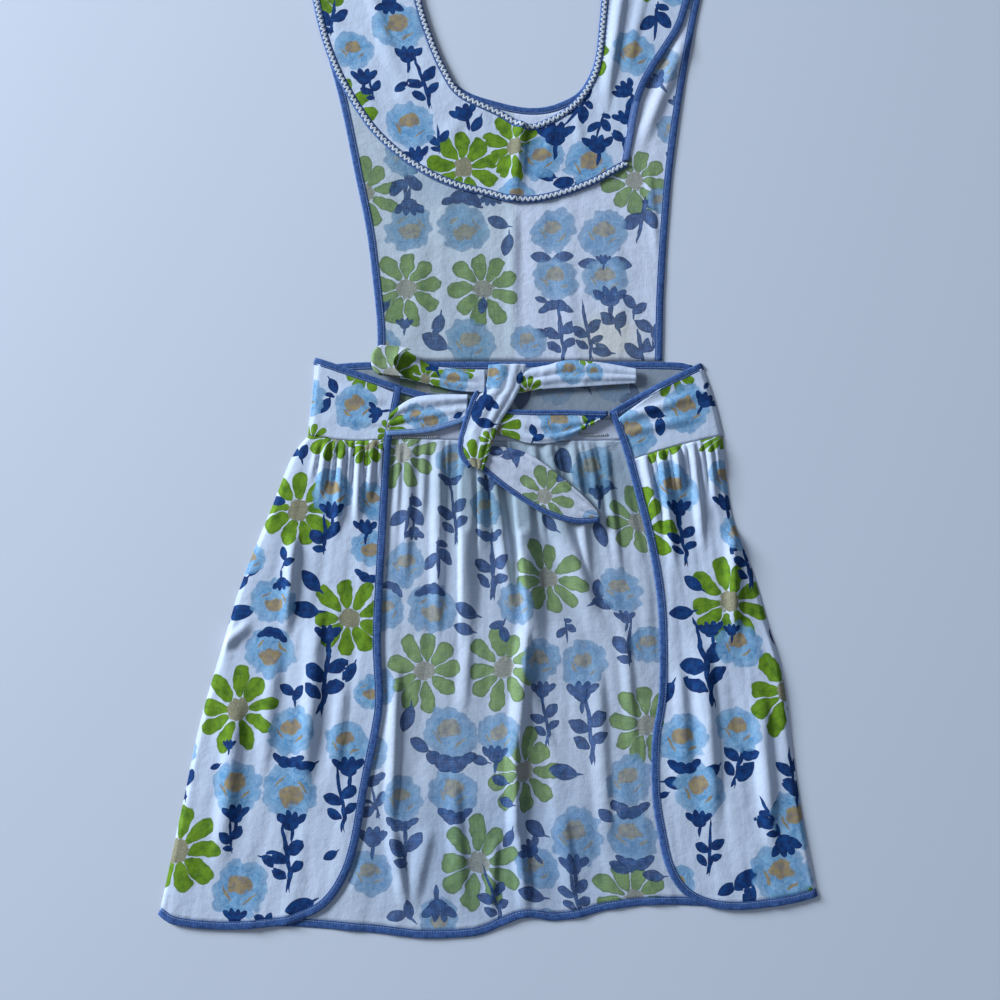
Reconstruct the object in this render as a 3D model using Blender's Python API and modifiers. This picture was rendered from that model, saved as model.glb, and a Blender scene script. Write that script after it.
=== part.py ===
"""Bib apron with wrap-around back panels, laid out front down and seen from its back.

Every outline is in millimetres in the garment's own plan: X to the right, Y from hem to neck, Z up from the
surface it lies on. The origin is the middle of its footprint. The meshes are made in metres.
"""
import math

import bmesh
import bpy
from mathutils import Vector
from mathutils.geometry import intersect_line_line_2d

MM = 0.001

# Sewing sizes
CLOTH = 1.2            # wall of one layer of cotton
BAND_WALL = 1.4        # a waistband is doubled
BINDING = 7.0          # width of the bias binding that shows
TIE_BINDING = 5.0
BINDING_WALL = 1.4
SEAM_GAP = 0.3         # pieces lie this far apart at their seams
GATHER_GAP = 1.0       # and this far where a gathered skirt meets its waistband
BOUND = BINDING + SEAM_GAP
CURVE_GAP = 1.0        # a panel with long straight edges keeps this far from a curved binding
CORNER_GAP = 1.2       # a binding or a panel starts this far from the binding that crosses its end
CHORD_ERROR = 0.15     # how far a binding's straight steps may leave its curve
LONGEST_STEP = 40.0
RICKRACK_PITCH = 5.0
RICKRACK_SWING = 1.5
RICKRACK_BRAID = 2.2
RICKRACK_WALL = 0.9

# Levels of the underside of each layer
BACK_LEVEL = 1.8       # on the front panels
TIE_LEVEL = 3.8        # on the back waistbands
KNOT_LEVEL = 5.8       # on the ties
ROLL = 5.0             # a side fold comes down to the surface over this width
EDGE_FADE = 8.0        # a fold of the front skirt dies out over this width
CREST = 4.5            # of the gathers that the long tail lies on
KNOT_RISE = 2.6        # of the knot's band over the root of the long tail

# Levels of the plan
SHOULDER = 470.0
LEFT_CORNER = -446.0   # where the back panels' front edges have turned into their hems
RIGHT_CORNER = -434.0
STRAP_TOP = SHOULDER - 2.4 * ROLL

# Outlines, each a row of (x, y); sides and edges run down, the others run from left to right
SIDE_LEFT = [
    (-164, -38), (-178, -58), (-196, -107), (-220, -173), (-235, -230), (-251, -292), (-264, -365), (-281, -453),
]
SIDE_RIGHT = [
    (212, -38), (214, -74), (219, -115), (235, -162), (247, -209), (258, -253), (268, -355), (281, -438),
]
BAND_END_LEFT = [(-159, 35), (-161, 0), (-164, -38)]
BAND_END_RIGHT = [(194, 30), (205, -5), (212, -38)]
EDGE_LEFT = [
    (-79, 8), (-83, -16), (-88, -42), (-90, -80), (-93, -151), (-95, -222), (-92, -271), (-95, -299), (-103, -341),
    (-112, -396), (-122, -425), (-138, -446), (-159, -457), (-180, -462), (-225, -465), (-265, -461), (-281, -453),
]
EDGE_RIGHT = [
    (109, -16), (121, -51), (132, -94), (144, -147), (150, -201), (149, -265), (142, -308), (141, -354), (146, -390),
    (152, -415), (164, -434), (183, -445), (208, -449), (236, -447), (262, -443), (281, -438),
]
BAND_TOP_LEFT = [(-159, 35), (-118, 21), (-79, 8)]
BAND_TOP_LEFT_ON_TIE = [(-50, 0), (-22, -1)]
BAND_TOP_RIGHT = [(109, -16), (152, 9), (194, 30)]
BAND_SEAM_LEFT = [(-164, -38), (-127, -43), (-88, -42)]
BAND_SEAM_RIGHT = [(126, -60), (173, -47), (212, -38)]
FRONT_TOP = [(-152, 28), (-103, 31), (28, 31), (159, 31), (186, 28)]
FRONT_SEAM = [(-158, -40), (-81, -41), (28, -43), (128, -42), (206, -40)]
FRONT_HEM = [
    (-275, -451), (-220, -462), (-160, -463), (-94, -468), (-54, -472), (-10, -470), (12, -462), (28, -456),
    (42, -456), (56, -458), (80, -455), (104, -449), (146, -445), (208, -446), (275, -437),
]
BIB_LEFT = [
    (-188, STRAP_TOP), (-168, 378), (-143, 288), (-127, 214), (-115, 158), (-107, 100), (-103, 61), (-103, 31.8),
]
BIB_RIGHT = [
    (220, STRAP_TOP), (202, 384), (185, 298), (174, 228), (167, 163), (162, 100), (160, 61), (159, 31.8),
]
NECK_FRONT = [
    (-75, STRAP_TOP), (-63, 392), (-41, 329), (-17, 293), (12, 279), (39, 275), (67, 280), (88, 304), (102, 350),
    (110, STRAP_TOP),
]
NECK_BACK = [
    (-81, SHOULDER), (-66, 392), (-55, 354), (-41, 319), (-25, 295), (10, 277), (34, 263), (55, 268), (76, 282),
    (91, 301), (101, 329), (108, 392), (115, SHOULDER),
]
YOKE_HEM = [
    (-186, SHOULDER), (-168, 376), (-150, 319), (-121, 267), (-96, 238), (-65, 214), (-34, 199), (-4, 191),
    (23, 184), (54, 186), (95, 200), (131, 220),
]
YOKE_SIDE = [
    (131, 220), (137, 254), (144, 288), (156, 315), (173, 342), (185, 363), (194, 392), (214, SHOULDER),
]

# Folds, each a soft ridge along a straight line
# x_top, y_top, x_foot, y_foot, half_width, peak
FRONT_FOLDS = [
    (-78, -42, -82, -150, 6.0, 2.6),
    (-65, -42, -70, -195, 7.0, 3.4),
    (-53, -42, -55, -135, 6.0, 2.8),
    (-41, -42, -44, -235, 7.0, 3.6),
    (-28, -42, -27, -217, 7.0, 4.2),
    (-14, -42, -11, -175, 6.5, 3.0),
    (0, -42, 22, -172, 7.5, 4.0),
    (14, -42, 36, -150, 6.5, 3.0),
    (28, -42, 50, -235, 7.0, 3.8),
    (41, -42, 62, -165, 6.5, 3.0),
    (54, -42, 74, -240, 7.0, 3.8),
    (67, -42, 90, -170, 6.5, 3.2),
    (80, -42, 101, -245, 7.0, 3.6),
    (93, -42, 116, -165, 6.5, 3.0),
    (106, -42, 124, -130, 6.0, 2.4),
    (20, -160, 35, -246, 9.0, 4.4),
    (35, -236, 25, -380, 10.0, 4.8),
    (25, -366, 34, -452, 10.0, 3.6),
    (-78, -262, -84, -405, 8.0, 4.0),
    (-84, -390, -68, -455, 8.0, 2.6),
    (-35, -300, -22, -440, 12.0, 2.4),
    (92, -270, 104, -425, 12.0, 2.6),
]
LEFT_FOLDS = [
    (-146, -44, -152, -100, 6.0, 2.6),
    (-131, -44, -136, -140, 6.5, 3.0),
    (-116, -44, -118, -128, 6.0, 2.8),
    (-104, -44, -108, -105, 5.5, 2.0),
    (-173, -130, -178, -228, 9.0, 3.2),
    (-236, -228, -206, -203, 7.0, 2.2),
    (-150, -200, -160, -380, 14.0, 2.6),
    (-218, -280, -228, -430, 14.0, 2.4),
]
RIGHT_FOLDS = [
    (140, -54, 154, -135, 6.5, 2.6),
    (155, -50, 166, -165, 6.5, 3.0),
    (169, -48, 172, -95, 6.0, 3.4),
    (184, -46, 192, -150, 6.5, 2.8),
    (199, -44, 203, -110, 6.0, 2.2),
    (218, -125, 217, -235, 9.0, 3.0),
    (190, -230, 196, -400, 14.0, 2.6),
    (238, -270, 244, -410, 12.0, 2.2),
]
YOKE_FOLDS = [
    (34, 266, 22, 178, 8.0, 2.6),
    (130, 410, 108, 262, 9.0, 2.6),
    (-120, 420, -84, 300, 12.0, 1.6),
]
BIB_FOLDS = [
    (23, 158, 23, 20, 9.0, 1.6),
]
BAND_FOLDS = [
    (120, -26, 200, 2, 6.0, 1.2),
    (-96, -8, -148, 6, 7.0, 0.9),
]

# Stretches of the ties, each between an upper and a lower edge
TIE_LEFT_UPPER = [(-90, -19), (-78, -9), (-65, -3), (-45, -2), (-19, -2)]
TIE_LEFT_LOWER = [(-92, -39), (-76, -37), (-54, -34), (-35, -27), (-19, -22)]
TIE_RIGHT_UPPER = [(13, -14), (40, -15), (70, -15), (108, -16)]
TIE_RIGHT_LOWER = [(-2, -38), (15, -39), (37, -46), (64, -44), (87, -33), (104, -22)]
TAIL_UPPER = [(-8, -48), (17, -50), (36, -56), (55, -69), (71, -82), (84, -94), (97, -108)]
TAIL_LOWER = [(-16, -62), (-2, -75), (14, -88), (33, -101), (53, -112), (77, -119), (99, -118)]
END_UPPER = [(20, 21), (51, 26), (71, 31), (102, 29), (135, 23)]
END_LOWER = [(16, -2), (47, 4), (79, 6), (106, 8), (134, 10)]
KNOT_LEFT = [(-4, 27), (-7, 5), (-14, 0), (-24, -28), (-28, -48), (-26, -60), (-18, -70)]
KNOT_RIGHT = [(34, 27), (29, 8), (21, -9), (9, -29), (2, -50), (-2, -62), (-6, -72)]
LOOP_UPPER = [(-104, 44), (-78, 40), (-56, 28), (-37, 24), (-3, 22)]
LOOP_LOWER = [(-104, 18), (-74, 14), (-56, 10), (-30, 4), (-3, 1)]
LOOP_RADIUS = 3.2      # of the turn at the loop's left end
LOOP_BACK = 46.0       # length of the layer that comes back over the loop

# colour, roughness
WHITE_PRINT = ((0.80, 0.84, 0.86), 0.85)
FADED_PRINT = ((0.62, 0.68, 0.74), 0.9)
BIAS_BLUE = ((0.10, 0.18, 0.48), 0.8)
BRAID_WHITE = ((0.88, 0.89, 0.92), 0.75)


class Line:
    """A smooth line through a few points, read by the share of its length."""

    def __init__(self, points, spans=8):
        knots = [Vector(point) for point in points]
        self.points = knots if spans == 1 else smooth_through(knots, spans)
        self.runs = [0.0]
        for start, end in zip(self.points, self.points[1:]):
            self.runs.append(self.runs[-1] + (end - start).length)
        self.length = self.runs[-1]

    def at(self, share):
        distance = min(max(share, 0.0), 1.0) * self.length
        index = 1
        while index < len(self.runs) - 1 and self.runs[index] < distance:
            index += 1
        part = (distance - self.runs[index - 1]) / max(self.runs[index] - self.runs[index - 1], 1e-9)
        return self.points[index - 1].lerp(self.points[index], part)

    def left_of(self, share):
        """The unit vector to the left of the line's direction."""
        step = 0.5 / self.length
        ahead = self.at(share + step) - self.at(share - step)
        return Vector((-ahead.y, ahead.x)).normalized()

    def moved(self, distance, count=80):
        """The line, moved to its left by a distance."""
        shares = [i / count for i in range(count + 1)]
        return Line([self.at(share) + self.left_of(share) * distance for share in shares], spans=1)

    def part(self, start, end, count=50):
        """The stretch between two shares, which may run backwards."""
        shares = [start + (end - start) * i / count for i in range(count + 1)]
        return Line([self.at(share) for share in shares], spans=1)

    def share_at_y(self, level):
        """The first share at which the line comes down to a level."""
        for index in range(1, len(self.points)):
            start, end = self.points[index - 1:index + 1]
            if end.y <= level < start.y:
                part = (start.y - level) / (start.y - end.y)
                return (self.runs[index - 1] + part * (self.runs[index] - self.runs[index - 1])) / self.length
        return 0.0 if level >= self.points[0].y else 1.0

    def x_at_y(self, level):
        return self.at(self.share_at_y(level)).x

    def y_at_x(self, level):
        """The height of a line that runs to the right."""
        for start, end in zip(self.points, self.points[1:]):
            if end.x >= level:
                return start.lerp(end, (level - start.x) / (end.x - start.x)).y
        return self.points[-1].y


def smooth_through(knots, spans):
    """Points of a Catmull-Rom curve through the knots."""
    ends = [2 * knots[0] - knots[1]] + knots + [2 * knots[-1] - knots[-2]]
    points = []
    for before, start, end, after in zip(ends, ends[1:], ends[2:], ends[3:]):
        for i in range(spans):
            t = i / spans
            curve = 2 * start + (end - before) * t
            curve += (2 * before - 5 * start + 4 * end - after) * t ** 2
            curve += (3 * start - before - 3 * end + after) * t ** 3
            points.append(curve * 0.5)
    points.append(knots[-1])
    return points


def cut_to_corner(first, second):
    """Two lines, cut off where the first one crosses the second one."""
    for i in reversed(range(len(first.points) - 1)):
        for j in range(len(second.points) - 1):
            corner = intersect_line_line_2d(*first.points[i:i + 2], *second.points[j:j + 2])
            if corner:
                before = Line(first.points[:i + 1] + [corner], spans=1)
                return before, Line([corner] + second.points[j + 1:], spans=1)
    return first, second


def spread(*stretches):
    """Shares from 0 to 1: each stretch is a number of steps and the share where they end."""
    shares = [0.0]
    for steps, end in stretches:
        start = shares[-1]
        shares += [start + (end - start) * i / steps for i in range(1, steps + 1)]
    return shares


def spread_by_bend(line, rolled_start=False, rolled_end=False):
    """Shares along a strip, closer where it bends and where it rolls over a side fold."""
    costs = [0.0]
    for before, here, after in zip(line.points, line.points[1:], line.points[2:] + line.points[-1:]):
        run = (here - before).length
        bend = (here - before).angle(after - here, 0) if after != here else 0
        costs.append(costs[-1] + run / LONGEST_STEP + math.sqrt(bend * run / (8 * CHORD_ERROR)))
    steps = math.ceil(costs[-1])
    inner = []
    for step in range(1, steps):
        index = next(i for i, cost in enumerate(costs) if cost >= costs[-1] * step / steps)
        inner.append(line.runs[index] / line.length)
    roll = ROLL / line.length
    first = [0, roll / 2, roll] if rolled_start else [0]
    last = [1 - roll, 1 - roll / 2, 1] if rolled_end else [1]
    clear = 0.6 * roll
    inner = [share for share in inner if first[-1] + clear < share < last[0] - clear]
    return first + inner + last


def soft_step(x):
    x = min(max(x, 0.0), 1.0)
    return x * x * (3 - 2 * x)


def fold_height(x, y, folds):
    """Height of the soft ridges at a point of the plan."""
    height = 0.0
    for x_top, y_top, x_foot, y_foot, half_width, peak in folds:
        run = Vector((x_foot - x_top, y_foot - y_top))
        offset = Vector((x - x_top, y - y_top))
        share = offset.dot(run) / run.length_squared
        aside = abs(run.x * offset.y - run.y * offset.x) / run.length
        if -0.02 < share < 1 and aside < half_width:
            fade = soft_step(0.35 + share * 4) * soft_step((1 - share) * 2.2)
            height = max(height, peak * fade * (1 - (aside / half_width) ** 2) ** 2)
    return height


def patch(top, bottom, left, right):
    """A surface between four lines: top and bottom run to the right, left and right run down."""

    def place(u, v):
        point = top.at(u) * (1 - v) + bottom.at(u) * v + left.at(v) * (1 - u) + right.at(v) * u
        point -= (top.at(0) * (1 - u) + top.at(1) * u) * (1 - v)
        point -= (bottom.at(0) * (1 - u) + bottom.at(1) * u) * v
        return point

    return place


def front_height(x, y):
    """Underside of the front skirt, whose folds die out at the edges of the back panels."""
    from_left = x - left_edge.x_at_y(max(y, LEFT_CORNER))
    from_right = right_edge.x_at_y(max(y, RIGHT_CORNER)) - x
    return fold_height(x, y, FRONT_FOLDS) * soft_step((min(from_left, from_right) - 1.5) / EDGE_FADE)


def back_height(side, folds):
    """Underside of a back panel, which comes down to the surface at its side fold."""

    def height(x, y):
        return (BACK_LEVEL + fold_height(x, y, folds)) * soft_step(abs(x - side.x_at_y(y)) / ROLL)

    return height


def yoke_height(x, y):
    return (BACK_LEVEL + fold_height(x, y, YOKE_FOLDS)) * soft_step((SHOULDER - y) / ROLL)


def bib_height(x, y):
    return fold_height(x, y, BIB_FOLDS)


def tail_height(x, y):
    """Underside of the long tail, which lies on the crests of the gathers."""
    rise = CLOTH + 2 * SEAM_GAP + CREST - TIE_LEVEL
    return TIE_LEVEL + rise * soft_step((-43 - y) / 25)


def knot_height(x, y):
    """Underside of the knot's band, which lies on the ties and on the root of the long tail."""
    return KNOT_LEVEL + KNOT_RISE * soft_step((-30 - y) / 18)


def tie_height(x, y):
    return TIE_LEVEL


def add_material(piece, finish):
    colour, roughness = finish
    material = bpy.data.materials.new(piece.name)
    material.use_nodes = True
    shader = material.node_tree.nodes["Principled BSDF"]
    shader.inputs["Base Color"].default_value = (*colour, 1)
    shader.inputs["Roughness"].default_value = roughness
    shader.inputs["Metallic"].default_value = 0
    piece.data.materials.append(material)


def lay_sheet(name, columns, rows, place, wall, finish):
    """A grid whose underside is laid by place(column, row), with a wall built up on it."""
    mesh = bpy.data.meshes.new(name)
    grid = bmesh.new()
    bmesh.ops.create_grid(grid, x_segments=columns, y_segments=rows, size=0.5)
    for corner in grid.verts:
        column = round((corner.co.x + 0.5) * columns)
        row = round((0.5 - corner.co.y) * rows)
        corner.co = Vector(place(column, row)) * MM
    grid.normal_update()
    if sum(face.normal.z for face in grid.faces) < 0:
        bmesh.ops.reverse_faces(grid, faces=grid.faces)
    grid.to_mesh(mesh)
    grid.free()
    piece = bpy.data.objects.new(name, mesh)
    apron.objects.link(piece)
    solid = piece.modifiers.new("Wall", "SOLIDIFY")
    solid.thickness = wall * MM
    solid.offset = 1
    add_material(piece, finish)
    return piece


def level_along(line, shares, height):
    """The level of a strip at a share of its line, straight between its own stations."""
    levels = [height(*line.at(share)) for share in shares]

    def level(share):
        for index in range(1, len(shares)):
            if share <= shares[index] + 1e-9:
                part = (share - shares[index - 1]) / (shares[index] - shares[index - 1])
                return levels[index - 1] + (levels[index] - levels[index - 1]) * part
        return levels[-1]

    return level


def lay_strip(name, line, shares, level, width=BINDING, wall=BINDING_WALL, finish=BIAS_BLUE, swing=0.0):
    """A strip centred on a line. With a swing it runs in a zigzag."""

    def place(column, row):
        share = shares[column]
        aside = (0.5 - row) * width + (swing if column % 2 else -swing)
        point = line.at(share) + line.left_of(share) * aside
        return point.x, point.y, level(share)

    lay_sheet(name, len(shares) - 1, 1, place, wall, finish)


def bind(name, edge, inward, height, width=BINDING, **rolled):
    """Bias binding along an edge, which lies to the left (1) or the right (-1) of the edge's direction."""
    middle = edge.moved(inward * width / 2, count=120)
    shares = spread_by_bend(middle, **rolled)
    level = level_along(middle, shares, height)
    lay_strip(name, middle, shares, level, width=width)
    return middle, level


def trim_with_rickrack(name, middle, level):
    """White rickrack along the middle of a binding."""
    waves = round(middle.length / RICKRACK_PITCH)
    shares = spread((waves * 2, 1.0))

    def braid_level(share):
        return level(share) + BINDING_WALL + SEAM_GAP

    lay_strip(name, middle, shares, braid_level, RICKRACK_BRAID, RICKRACK_WALL, BRAID_WHITE, RICKRACK_SWING)


def make_front_skirt():
    hidden, visible, rows = 5, 48, 14
    shares = spread((hidden, 0.19), (visible, 0.81), (hidden, 1.0))
    hem = Line(FRONT_HEM).moved(BINDING + CURVE_GAP)
    seam = Line([(x, y - GATHER_GAP) for x, y in FRONT_SEAM])
    inset = ROLL + SEAM_GAP
    left = Line([seam.at(0)] + [(x + inset, y) for x, y in SIDE_LEFT[1:-1]] + [hem.at(0)])
    right = Line([seam.at(1)] + [(x - inset, y) for x, y in SIDE_RIGHT[1:-1]] + [hem.at(1)])
    surface = patch(seam, hem, left, right)

    def place(column, row):
        point = surface(shares[column], (row / rows) ** 1.2)
        return point.x, point.y, front_height(point.x, point.y)

    lay_sheet("front_skirt", len(shares) - 1, rows, place, CLOTH, FADED_PRINT)
    bind("binding_front_hem", Line(FRONT_HEM), 1, front_height)


def make_back_skirt(label, edge, inward, side_points, seam_points, folds, corner_level):
    """One wrap-around panel, from its side fold to its front edge, whose lower corner is round."""
    columns, rows = 16, 18
    inner = edge.moved(inward * (BINDING + CURVE_GAP), count=120)
    front = inner.part(inner.share_at_y(seam_points[-1][1] - GATHER_GAP), inner.share_at_y(corner_level))
    hem = inner.part(1, inner.share_at_y(corner_level))
    seam = Line([(x, y - GATHER_GAP) for x, y in seam_points[:-1]] + [front.at(0)])
    outer = Line([seam.at(0)] + side_points[1:-1] + [hem.at(0)])
    surface = patch(seam, hem, outer, front)
    height = back_height(Line(side_points), folds)

    def place(column, row):
        v = (row / rows) ** 1.1
        shares = spread((2, ROLL / (front.at(v) - outer.at(v)).length), (columns - 2, 1.0))
        point = surface(shares[column], v)
        return point.x, point.y, height(point.x, point.y)

    lay_sheet("back_skirt_" + label, columns, rows, place, CLOTH, WHITE_PRINT)
    start = edge.share_at_y(edge.at(0).y - BINDING - CORNER_GAP)
    bind("binding_back_" + label, edge.part(start, 1, count=90), inward, height, rolled_end=True)


def make_back_waistband(label, edge, inward, end_points, top_points, seam_points):
    """One back waistband, from the side fold to the panel's front edge."""
    columns, rows = 12, 5
    inner = edge.moved(inward * BOUND, count=120)
    end = Line(end_points)
    outer = end.part((BINDING + CORNER_GAP) / end.length, 1)
    front = inner.part(inner.share_at_y(edge.at(0).y - BOUND), inner.share_at_y(seam_points[-1][1]))
    bound_top = Line(top_points).moved(inward * (BINDING + CURVE_GAP))
    top = Line([outer.at(0), bound_top.at(0.5), front.at(0)])
    seam = Line(seam_points[:-1] + [front.at(1)])
    surface = patch(top, seam, outer, front)

    def height(x, y):
        inside = abs(x - end.x_at_y(y))
        return (BACK_LEVEL + fold_height(x, y, BAND_FOLDS)) * soft_step(inside / ROLL)

    def place(column, row):
        v = row / rows
        shares = spread((2, ROLL / (front.at(v) - outer.at(v)).length), (columns - 2, 1.0))
        point = surface(shares[column], v)
        return point.x, point.y, height(point.x, point.y)

    lay_sheet("back_waistband_" + label, columns, rows, place, BAND_WALL, WHITE_PRINT)
    return height


def make_bib():
    strap, across, rows = 13, 22, 6
    left = Line(BIB_LEFT).moved(BINDING + CURVE_GAP)
    right = Line(BIB_RIGHT).moved(-BINDING - CURVE_GAP)
    outer = Line(left.points + right.points[::-1], spans=1)
    inner = Line(NECK_FRONT).moved(-BINDING - CURVE_GAP)
    corner = left.length / outer.length
    far_corner = 1 - right.length / outer.length
    outer_shares = spread((strap, corner), (across, far_corner), (strap, 1.0))
    inner_shares = spread((strap, 0.42), (across, 0.60), (strap, 1.0))

    def place(column, row):
        point = inner.at(inner_shares[column]).lerp(outer.at(outer_shares[column]), row / rows)
        return point.x, point.y, bib_height(point.x, point.y)

    lay_sheet("front_bib", len(outer_shares) - 1, rows, place, CLOTH, FADED_PRINT)
    bind("binding_bib_left", Line(BIB_LEFT), 1, bib_height)
    bind("binding_bib_right", Line(BIB_RIGHT), -1, bib_height)
    bind("binding_neck_front", Line(NECK_FRONT), -1, bib_height)


def make_yoke():
    hem_steps, side_steps, rows = 24, 11, 5
    bound = BINDING + CURVE_GAP
    hem, side = cut_to_corner(Line(YOKE_HEM).moved(bound), Line(YOKE_SIDE).moved(bound))
    outer = Line(hem.points + side.points[1:], spans=1)
    inner = Line(NECK_BACK).moved(-bound)
    roll = ROLL / outer.length
    outer_shares = spread((2, roll), (hem_steps, hem.length / outer.length), (side_steps, 1 - roll), (2, 1.0))
    roll = ROLL / inner.length
    inner_shares = spread((2, roll), (hem_steps, 0.64), (side_steps, 1 - roll), (2, 1.0))

    def place(column, row):
        point = inner.at(inner_shares[column]).lerp(outer.at(outer_shares[column]), row / rows)
        return point.x, point.y, yoke_height(point.x, point.y)

    lay_sheet("back_yoke", len(outer_shares) - 1, rows, place, CLOTH, WHITE_PRINT)
    neck = bind("binding_neck_back", Line(NECK_BACK), -1, yoke_height, rolled_start=True, rolled_end=True)
    hem_edge = bind("binding_yoke_hem", Line(YOKE_HEM), 1, yoke_height, rolled_start=True)
    side_edge = Line(YOKE_SIDE)
    start = (BINDING + CORNER_GAP) / side_edge.length
    bind("binding_yoke_side", side_edge.part(start, 1), 1, yoke_height, rolled_end=True)
    trim_with_rickrack("rickrack_neck", *neck)
    trim_with_rickrack("rickrack_yoke", *hem_edge)


def make_front_waistband():
    columns, rows = 20, 3
    top = Line(FRONT_TOP).moved(-BOUND)
    seam = Line(FRONT_SEAM)
    surface = patch(top, seam, Line([top.at(0), seam.at(0)]), Line([top.at(1), seam.at(1)]))

    def place(column, row):
        point = surface(column / columns, row / rows)
        return point.x, point.y, 0.0

    lay_sheet("front_waistband", columns, rows, place, CLOTH, FADED_PRINT)
    bind("binding_front_waist", Line(FRONT_TOP), -1, bib_height)


def lay_tie(name, upper, lower, columns, rows, height, wall=CLOTH, ridge=0.0, ridge_row=1):
    """A stretch of tie between two edges, with one lengthways fold."""

    def place(column, row):
        share = column / columns
        point = upper.at(share).lerp(lower.at(share), row / rows)
        lift = ridge * math.sin(math.pi * share) if row == ridge_row else 0.0
        return point.x, point.y, height(point.x, point.y) + lift

    lay_sheet(name, columns, rows, place, wall, WHITE_PRINT)


def make_ties():
    bound = TIE_BINDING + CURVE_GAP
    lower = Line(TIE_LEFT_LOWER)
    lay_tie("tie_left", Line(TIE_LEFT_UPPER), lower.moved(bound), 10, 3, tie_height, ridge=1.4)
    bind("binding_tie_left", lower, 1, tie_height, width=TIE_BINDING)
    upper = Line(TIE_RIGHT_UPPER)
    lay_tie("tie_right", upper.moved(-bound), Line(TIE_RIGHT_LOWER), 12, 3, tie_height, ridge=1.0, ridge_row=2)
    bind("binding_tie_right", upper, -1, tie_height, width=TIE_BINDING)
    lower = Line(TAIL_LOWER)
    lay_tie("tail_long", Line(TAIL_UPPER), lower.moved(bound), 14, 4, tail_height, ridge=0.8)
    bind("binding_tail_long", lower, 1, tail_height, width=TIE_BINDING)
    lay_tie("tail_short", Line(END_UPPER), Line(END_LOWER), 12, 3, tie_height, ridge=2.0)
    left = Line(KNOT_LEFT)
    lay_tie("knot_band", left.moved(bound), Line(KNOT_RIGHT), 16, 4, knot_height, ridge=1.4, ridge_row=2)
    bind("binding_knot", left, 1, knot_height, width=TIE_BINDING)


def make_bow_loop():
    """The left loop: a strip that runs left from the knot, turns over and comes back on top of itself."""
    columns, rows = 24, 2
    upper = Line(LOOP_UPPER)
    lower = Line(LOOP_LOWER)
    right_end, turn = LOOP_UPPER[-1][0], LOOP_UPPER[0][0]
    straight = right_end - turn
    half_turn = math.pi * LOOP_RADIUS
    whole = straight + half_turn + LOOP_BACK
    top_of_turn = TIE_LEVEL + 2 * LOOP_RADIUS
    shares = spread((10, straight / whole), (6, (straight + half_turn) / whole), (8, 1.0))

    def place(column, row):
        run = shares[column] * whole
        if run <= straight:
            x, z = right_end - run, TIE_LEVEL
        elif run <= straight + half_turn:
            angle = (run - straight) / LOOP_RADIUS
            x = turn - LOOP_RADIUS * math.sin(angle)
            z = TIE_LEVEL + LOOP_RADIUS * (1 - math.cos(angle))
        else:
            back = run - straight - half_turn
            x, z = turn + back, top_of_turn - 1.6 * soft_step(back / LOOP_BACK)
        high = upper.y_at_x(max(x, turn))
        low = lower.y_at_x(max(x, turn))
        return x, high + (low - high) * row / rows, z

    lay_sheet("bow_loop", columns, rows, place, CLOTH, WHITE_PRINT)


def remove_scene_objects():
    for item in list(bpy.data.objects):
        bpy.data.objects.remove(item)


def make_back_panels():
    make_back_skirt("left", left_edge, -1, SIDE_LEFT, BAND_SEAM_LEFT, LEFT_FOLDS, LEFT_CORNER + 16)
    make_back_skirt("right", right_edge, 1, SIDE_RIGHT, BAND_SEAM_RIGHT[::-1], RIGHT_FOLDS, RIGHT_CORNER + 14)
    left = make_back_waistband("left", left_edge, -1, BAND_END_LEFT, BAND_TOP_LEFT, BAND_SEAM_LEFT)
    right = make_back_waistband(
        "right", right_edge, 1, BAND_END_RIGHT, BAND_TOP_RIGHT[::-1], BAND_SEAM_RIGHT[::-1],
    )
    top = Line(BAND_TOP_LEFT + BAND_TOP_LEFT_ON_TIE)
    bind("binding_waistband_left", top, -1, left, rolled_start=True)
    bind("binding_waistband_right", Line(BAND_TOP_RIGHT), -1, right, rolled_end=True)


remove_scene_objects()
apron = bpy.data.collections.new("bib_apron")
bpy.context.scene.collection.children.link(apron)
left_edge = Line(EDGE_LEFT)
right_edge = Line(EDGE_RIGHT)
make_front_skirt()
make_front_waistband()
make_bib()
make_yoke()
make_back_panels()
make_ties()
make_bow_loop()
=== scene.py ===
import math

import bmesh
import bpy
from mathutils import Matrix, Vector, kdtree, noise


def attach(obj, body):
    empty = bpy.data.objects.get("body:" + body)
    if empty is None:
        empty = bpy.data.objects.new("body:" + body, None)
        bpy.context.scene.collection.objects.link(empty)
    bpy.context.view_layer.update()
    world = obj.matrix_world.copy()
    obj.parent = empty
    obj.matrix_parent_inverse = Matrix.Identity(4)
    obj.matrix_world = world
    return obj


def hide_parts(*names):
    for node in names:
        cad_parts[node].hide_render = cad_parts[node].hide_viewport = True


# bib apron, laid out front down: cloth, bindings and print over the frame's own solids
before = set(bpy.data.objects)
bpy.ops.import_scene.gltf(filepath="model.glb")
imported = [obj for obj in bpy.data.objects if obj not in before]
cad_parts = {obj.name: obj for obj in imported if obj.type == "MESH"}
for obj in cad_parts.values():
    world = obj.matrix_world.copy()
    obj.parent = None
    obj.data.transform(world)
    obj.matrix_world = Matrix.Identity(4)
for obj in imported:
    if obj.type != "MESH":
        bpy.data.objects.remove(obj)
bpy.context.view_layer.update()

# all sizes are in millimetres, in the garment's own plan
mm = 0.001
wall = 0.6            # one layer of cotton
doubledWall = 0.9
bindingWall = 0.45
braidWall = 0.35
threadWall = 0.3
binding = 7.0         # width of the bias binding that shows
lap = 1.6             # the binding covers this much of its panel
bound = binding - lap     # so its cloth is cut this far inside its edge
tieBinding = 5.0
tieLap = 1.2
seamGap = 0.4         # a skirt starts this far below the line of its seam
backLevel = 1.8       # undersides: back panels on the front ones,
tieLevel = 3.8        # ties on the back waistbands,
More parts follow.
